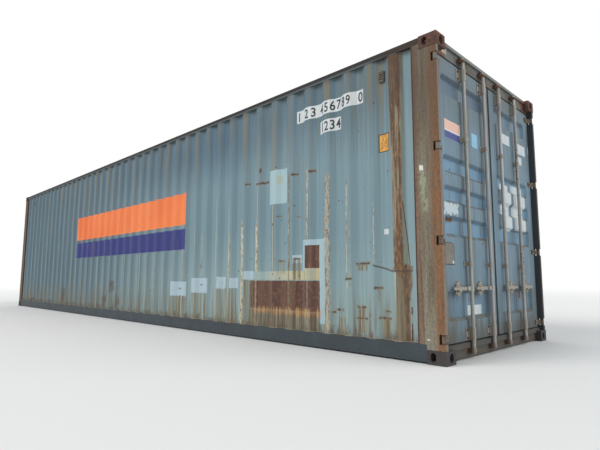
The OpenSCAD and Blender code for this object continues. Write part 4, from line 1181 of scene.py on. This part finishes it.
def wall_digits():
    """Plain rows of numerals on the white plates. On the right side they run the other way."""
    for side, sign in (("left", -1), ("right", 1)):
        places = []
        for (z, xs), plate in zip(DIGIT_ROWS, PLATES):
            places += [(x if sign < 0 else plate[0] + plate[1] - x, z) for x in xs]
        digits(f"{side}_plate_digits", "12345678901234", places, WallSurface(sign))


# Build

side_wall("left")
side_wall("right")
front_wall()
door_panel("left")
door_panel("right")
wall_beads()
for leaf in ("left", "right"):
    door_fasteners(leaf)
door_plate()

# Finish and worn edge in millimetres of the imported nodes, by their names without side or number
FINISHES = {
    "bottom_castings": ("casting", 8), "top_castings": ("casting", 8),
    "rear_post": ("post", 3), "front_post": ("post", 3), "bottom_rail": ("rail", 2),
    "top_rail": ("top_rail", 2),
    "front_header": ("header", 2), "front_sill": ("rail", 2), "roof": ("roof", 0), "floor": ("floor", 1.5),
    "cross_members": ("rail", 1), "gooseneck_tunnel": ("rail", 1), "ventilators": ("ventilator", 1.5),
    "door_header": ("header", 2), "door_sill": ("header", 2), "header_keepers": ("keeper", 1.5),
    "sill_keepers": ("keeper", 1.5), "hinge_lugs": ("keeper", 0.8), "door_frame": ("door", 1.2),
    "door_seal": ("rubber", 2), "hinge_blades": ("hinge", 1), "bar_collars": ("bracket", 1.2),
    "handle_retainers": ("bracket", 1.5), "lock_bar": ("bar", 1), "handle": ("bracket", 1.5),
}
NAME_ENDS = ("left", "right", "1", "2", "3", "4")

for node_name, node in nodes.items():
    found = FINISHES.get("_".join(word for word in node_name.split("_") if word not in NAME_ENDS))
    if not found:
        continue
    finish, edge = found
    node.data.materials.clear()
    node.data.materials.append(MATERIALS[finish])
    if edge:
        bevel = node.modifiers.new("worn_edges", "BEVEL")
        bevel.width = edge * MM
        bevel.segments = 2
        bevel.limit_method = "ANGLE"
        bevel.angle_limit = math.radians(50)
        bevel.harden_normals = False


# Camera at the photograph's place

FOCAL_PIXELS = 463.25
IMAGE_WIDTH = 600
EYE = (7.9673, -4.7952, 0.7019)
YAW = math.radians(-44.803)
PITCH = math.radians(6.718)
ROLL = math.radians(0.142)

camera_data = bpy.data.cameras.new("camera")
camera_data.sensor_width = 36.0
camera_data.lens = FOCAL_PIXELS * camera_data.sensor_width / IMAGE_WIDTH
camera_data.clip_end = 500
camera = bpy.data.objects.new("camera", camera_data)
forward = Vector((math.sin(YAW) * math.cos(PITCH), math.cos(YAW) * math.cos(PITCH), math.sin(PITCH)))
level = Vector((math.cos(YAW), -math.sin(YAW), 0))
upward = level.cross(forward)
right = level * math.cos(ROLL) + upward * math.sin(ROLL)
top = upward * math.cos(ROLL) - level * math.sin(ROLL)
camera.matrix_world = Matrix.Translation(EYE) @ Matrix((right, top, -forward)).transposed().to_4x4()
bpy.context.scene.collection.objects.link(camera)
bpy.context.scene.camera = camera


# Floor, world and lamps

def whiten(tree, share, shader, white, output):
    """Blends a shader into a white one by a share, at the tree's output."""
    blend = add_node(tree, "MixShader", {0: share, 1: Wire(tree, shader.outputs[0]), 2: white})
    put(tree, tree.nodes[output].inputs["Surface"], blend)


def stage_floor():
    """A pale floor that keeps the shadow and fades into the white background."""
    mesh = bpy.data.meshes.new("studio_floor")
    count = 96
    reach = 120
    fade_start = 9
    fade_end = 40
    rim = [(reach * math.cos(k * math.tau / count), reach * math.sin(k * math.tau / count), 0)
           for k in range(count)]
    mesh.from_pydata(rim, [], [tuple(range(count))])
    floor = bpy.data.objects.new("studio_floor", mesh)
    floor.location.z = -0.0005
    bpy.context.scene.collection.objects.link(floor)
    material = bpy.data.materials.new("studio_floor")
    material.use_nodes = True
    tree = material.node_tree
    shader = tree.nodes["Principled BSDF"]
    shader.inputs["Base Color"].default_value = (0.80, 0.80, 0.79, 1)
    shader.inputs["Roughness"].default_value = 0.9
    place = add_node(tree, "TexCoord", {}, "Object")
    distance = add_node(tree, "VectorMath", {0: place}, "Value", operation="LENGTH")
    seen = add_node(tree, "LightPath", {}, "Is Camera Ray")
    share = distance.step(fade_start, fade_end) * seen
    whiten(tree, share, shader, add_node(tree, "Emission", {}), "Material Output")
    mesh.materials.append(material)


def studio_world():
    """White behind everything, and a plain level of light from all around."""
    world = bpy.data.worlds.new("studio")
    bpy.context.scene.world = world
    world.use_nodes = True
    tree = world.node_tree
    background = tree.nodes["Background"]
    background.inputs["Color"].default_value = (0.90, 0.95, 1.0, 1)
    background.inputs["Strength"].default_value = 0.50
    white = add_node(tree, "Background", {"Strength": 1.0, "Color": (1, 1, 1, 1)})
    seen, glossy, through = [add_node(tree, "LightPath", {}, f"Is {kind} Ray")
                             for kind in ("Camera", "Glossy", "Transmission")]
    whiten(tree, seen.most(glossy * 0.6).most(through), background, white, "World Output")


def lamp(name, direction, strength, spread, colour=(1, 1, 1)):
    """A soft sun that shines along a direction."""
    data = bpy.data.lights.new(name, "SUN")
    data.energy = strength
    data.angle = math.radians(spread)
    data.color = colour
    light = bpy.data.objects.new(name, data)
    light.rotation_euler = Vector(direction).to_track_quat("-Z", "Y").to_euler()
    bpy.context.scene.collection.objects.link(light)


stage_floor()
studio_world()
lamp("key", (0.3, 0.7, -0.62), 1.6, 35, (1.0, 0.98, 0.95))
lamp("door_light", (-0.8, -0.35, -0.5), 1.25, 60, (1.0, 0.99, 0.97))
lamp("fill", (0.6, -0.5, -0.6), 0.35, 60)
wall_digits()

scene = bpy.context.scene
scene.view_settings.view_transform = "Standard"
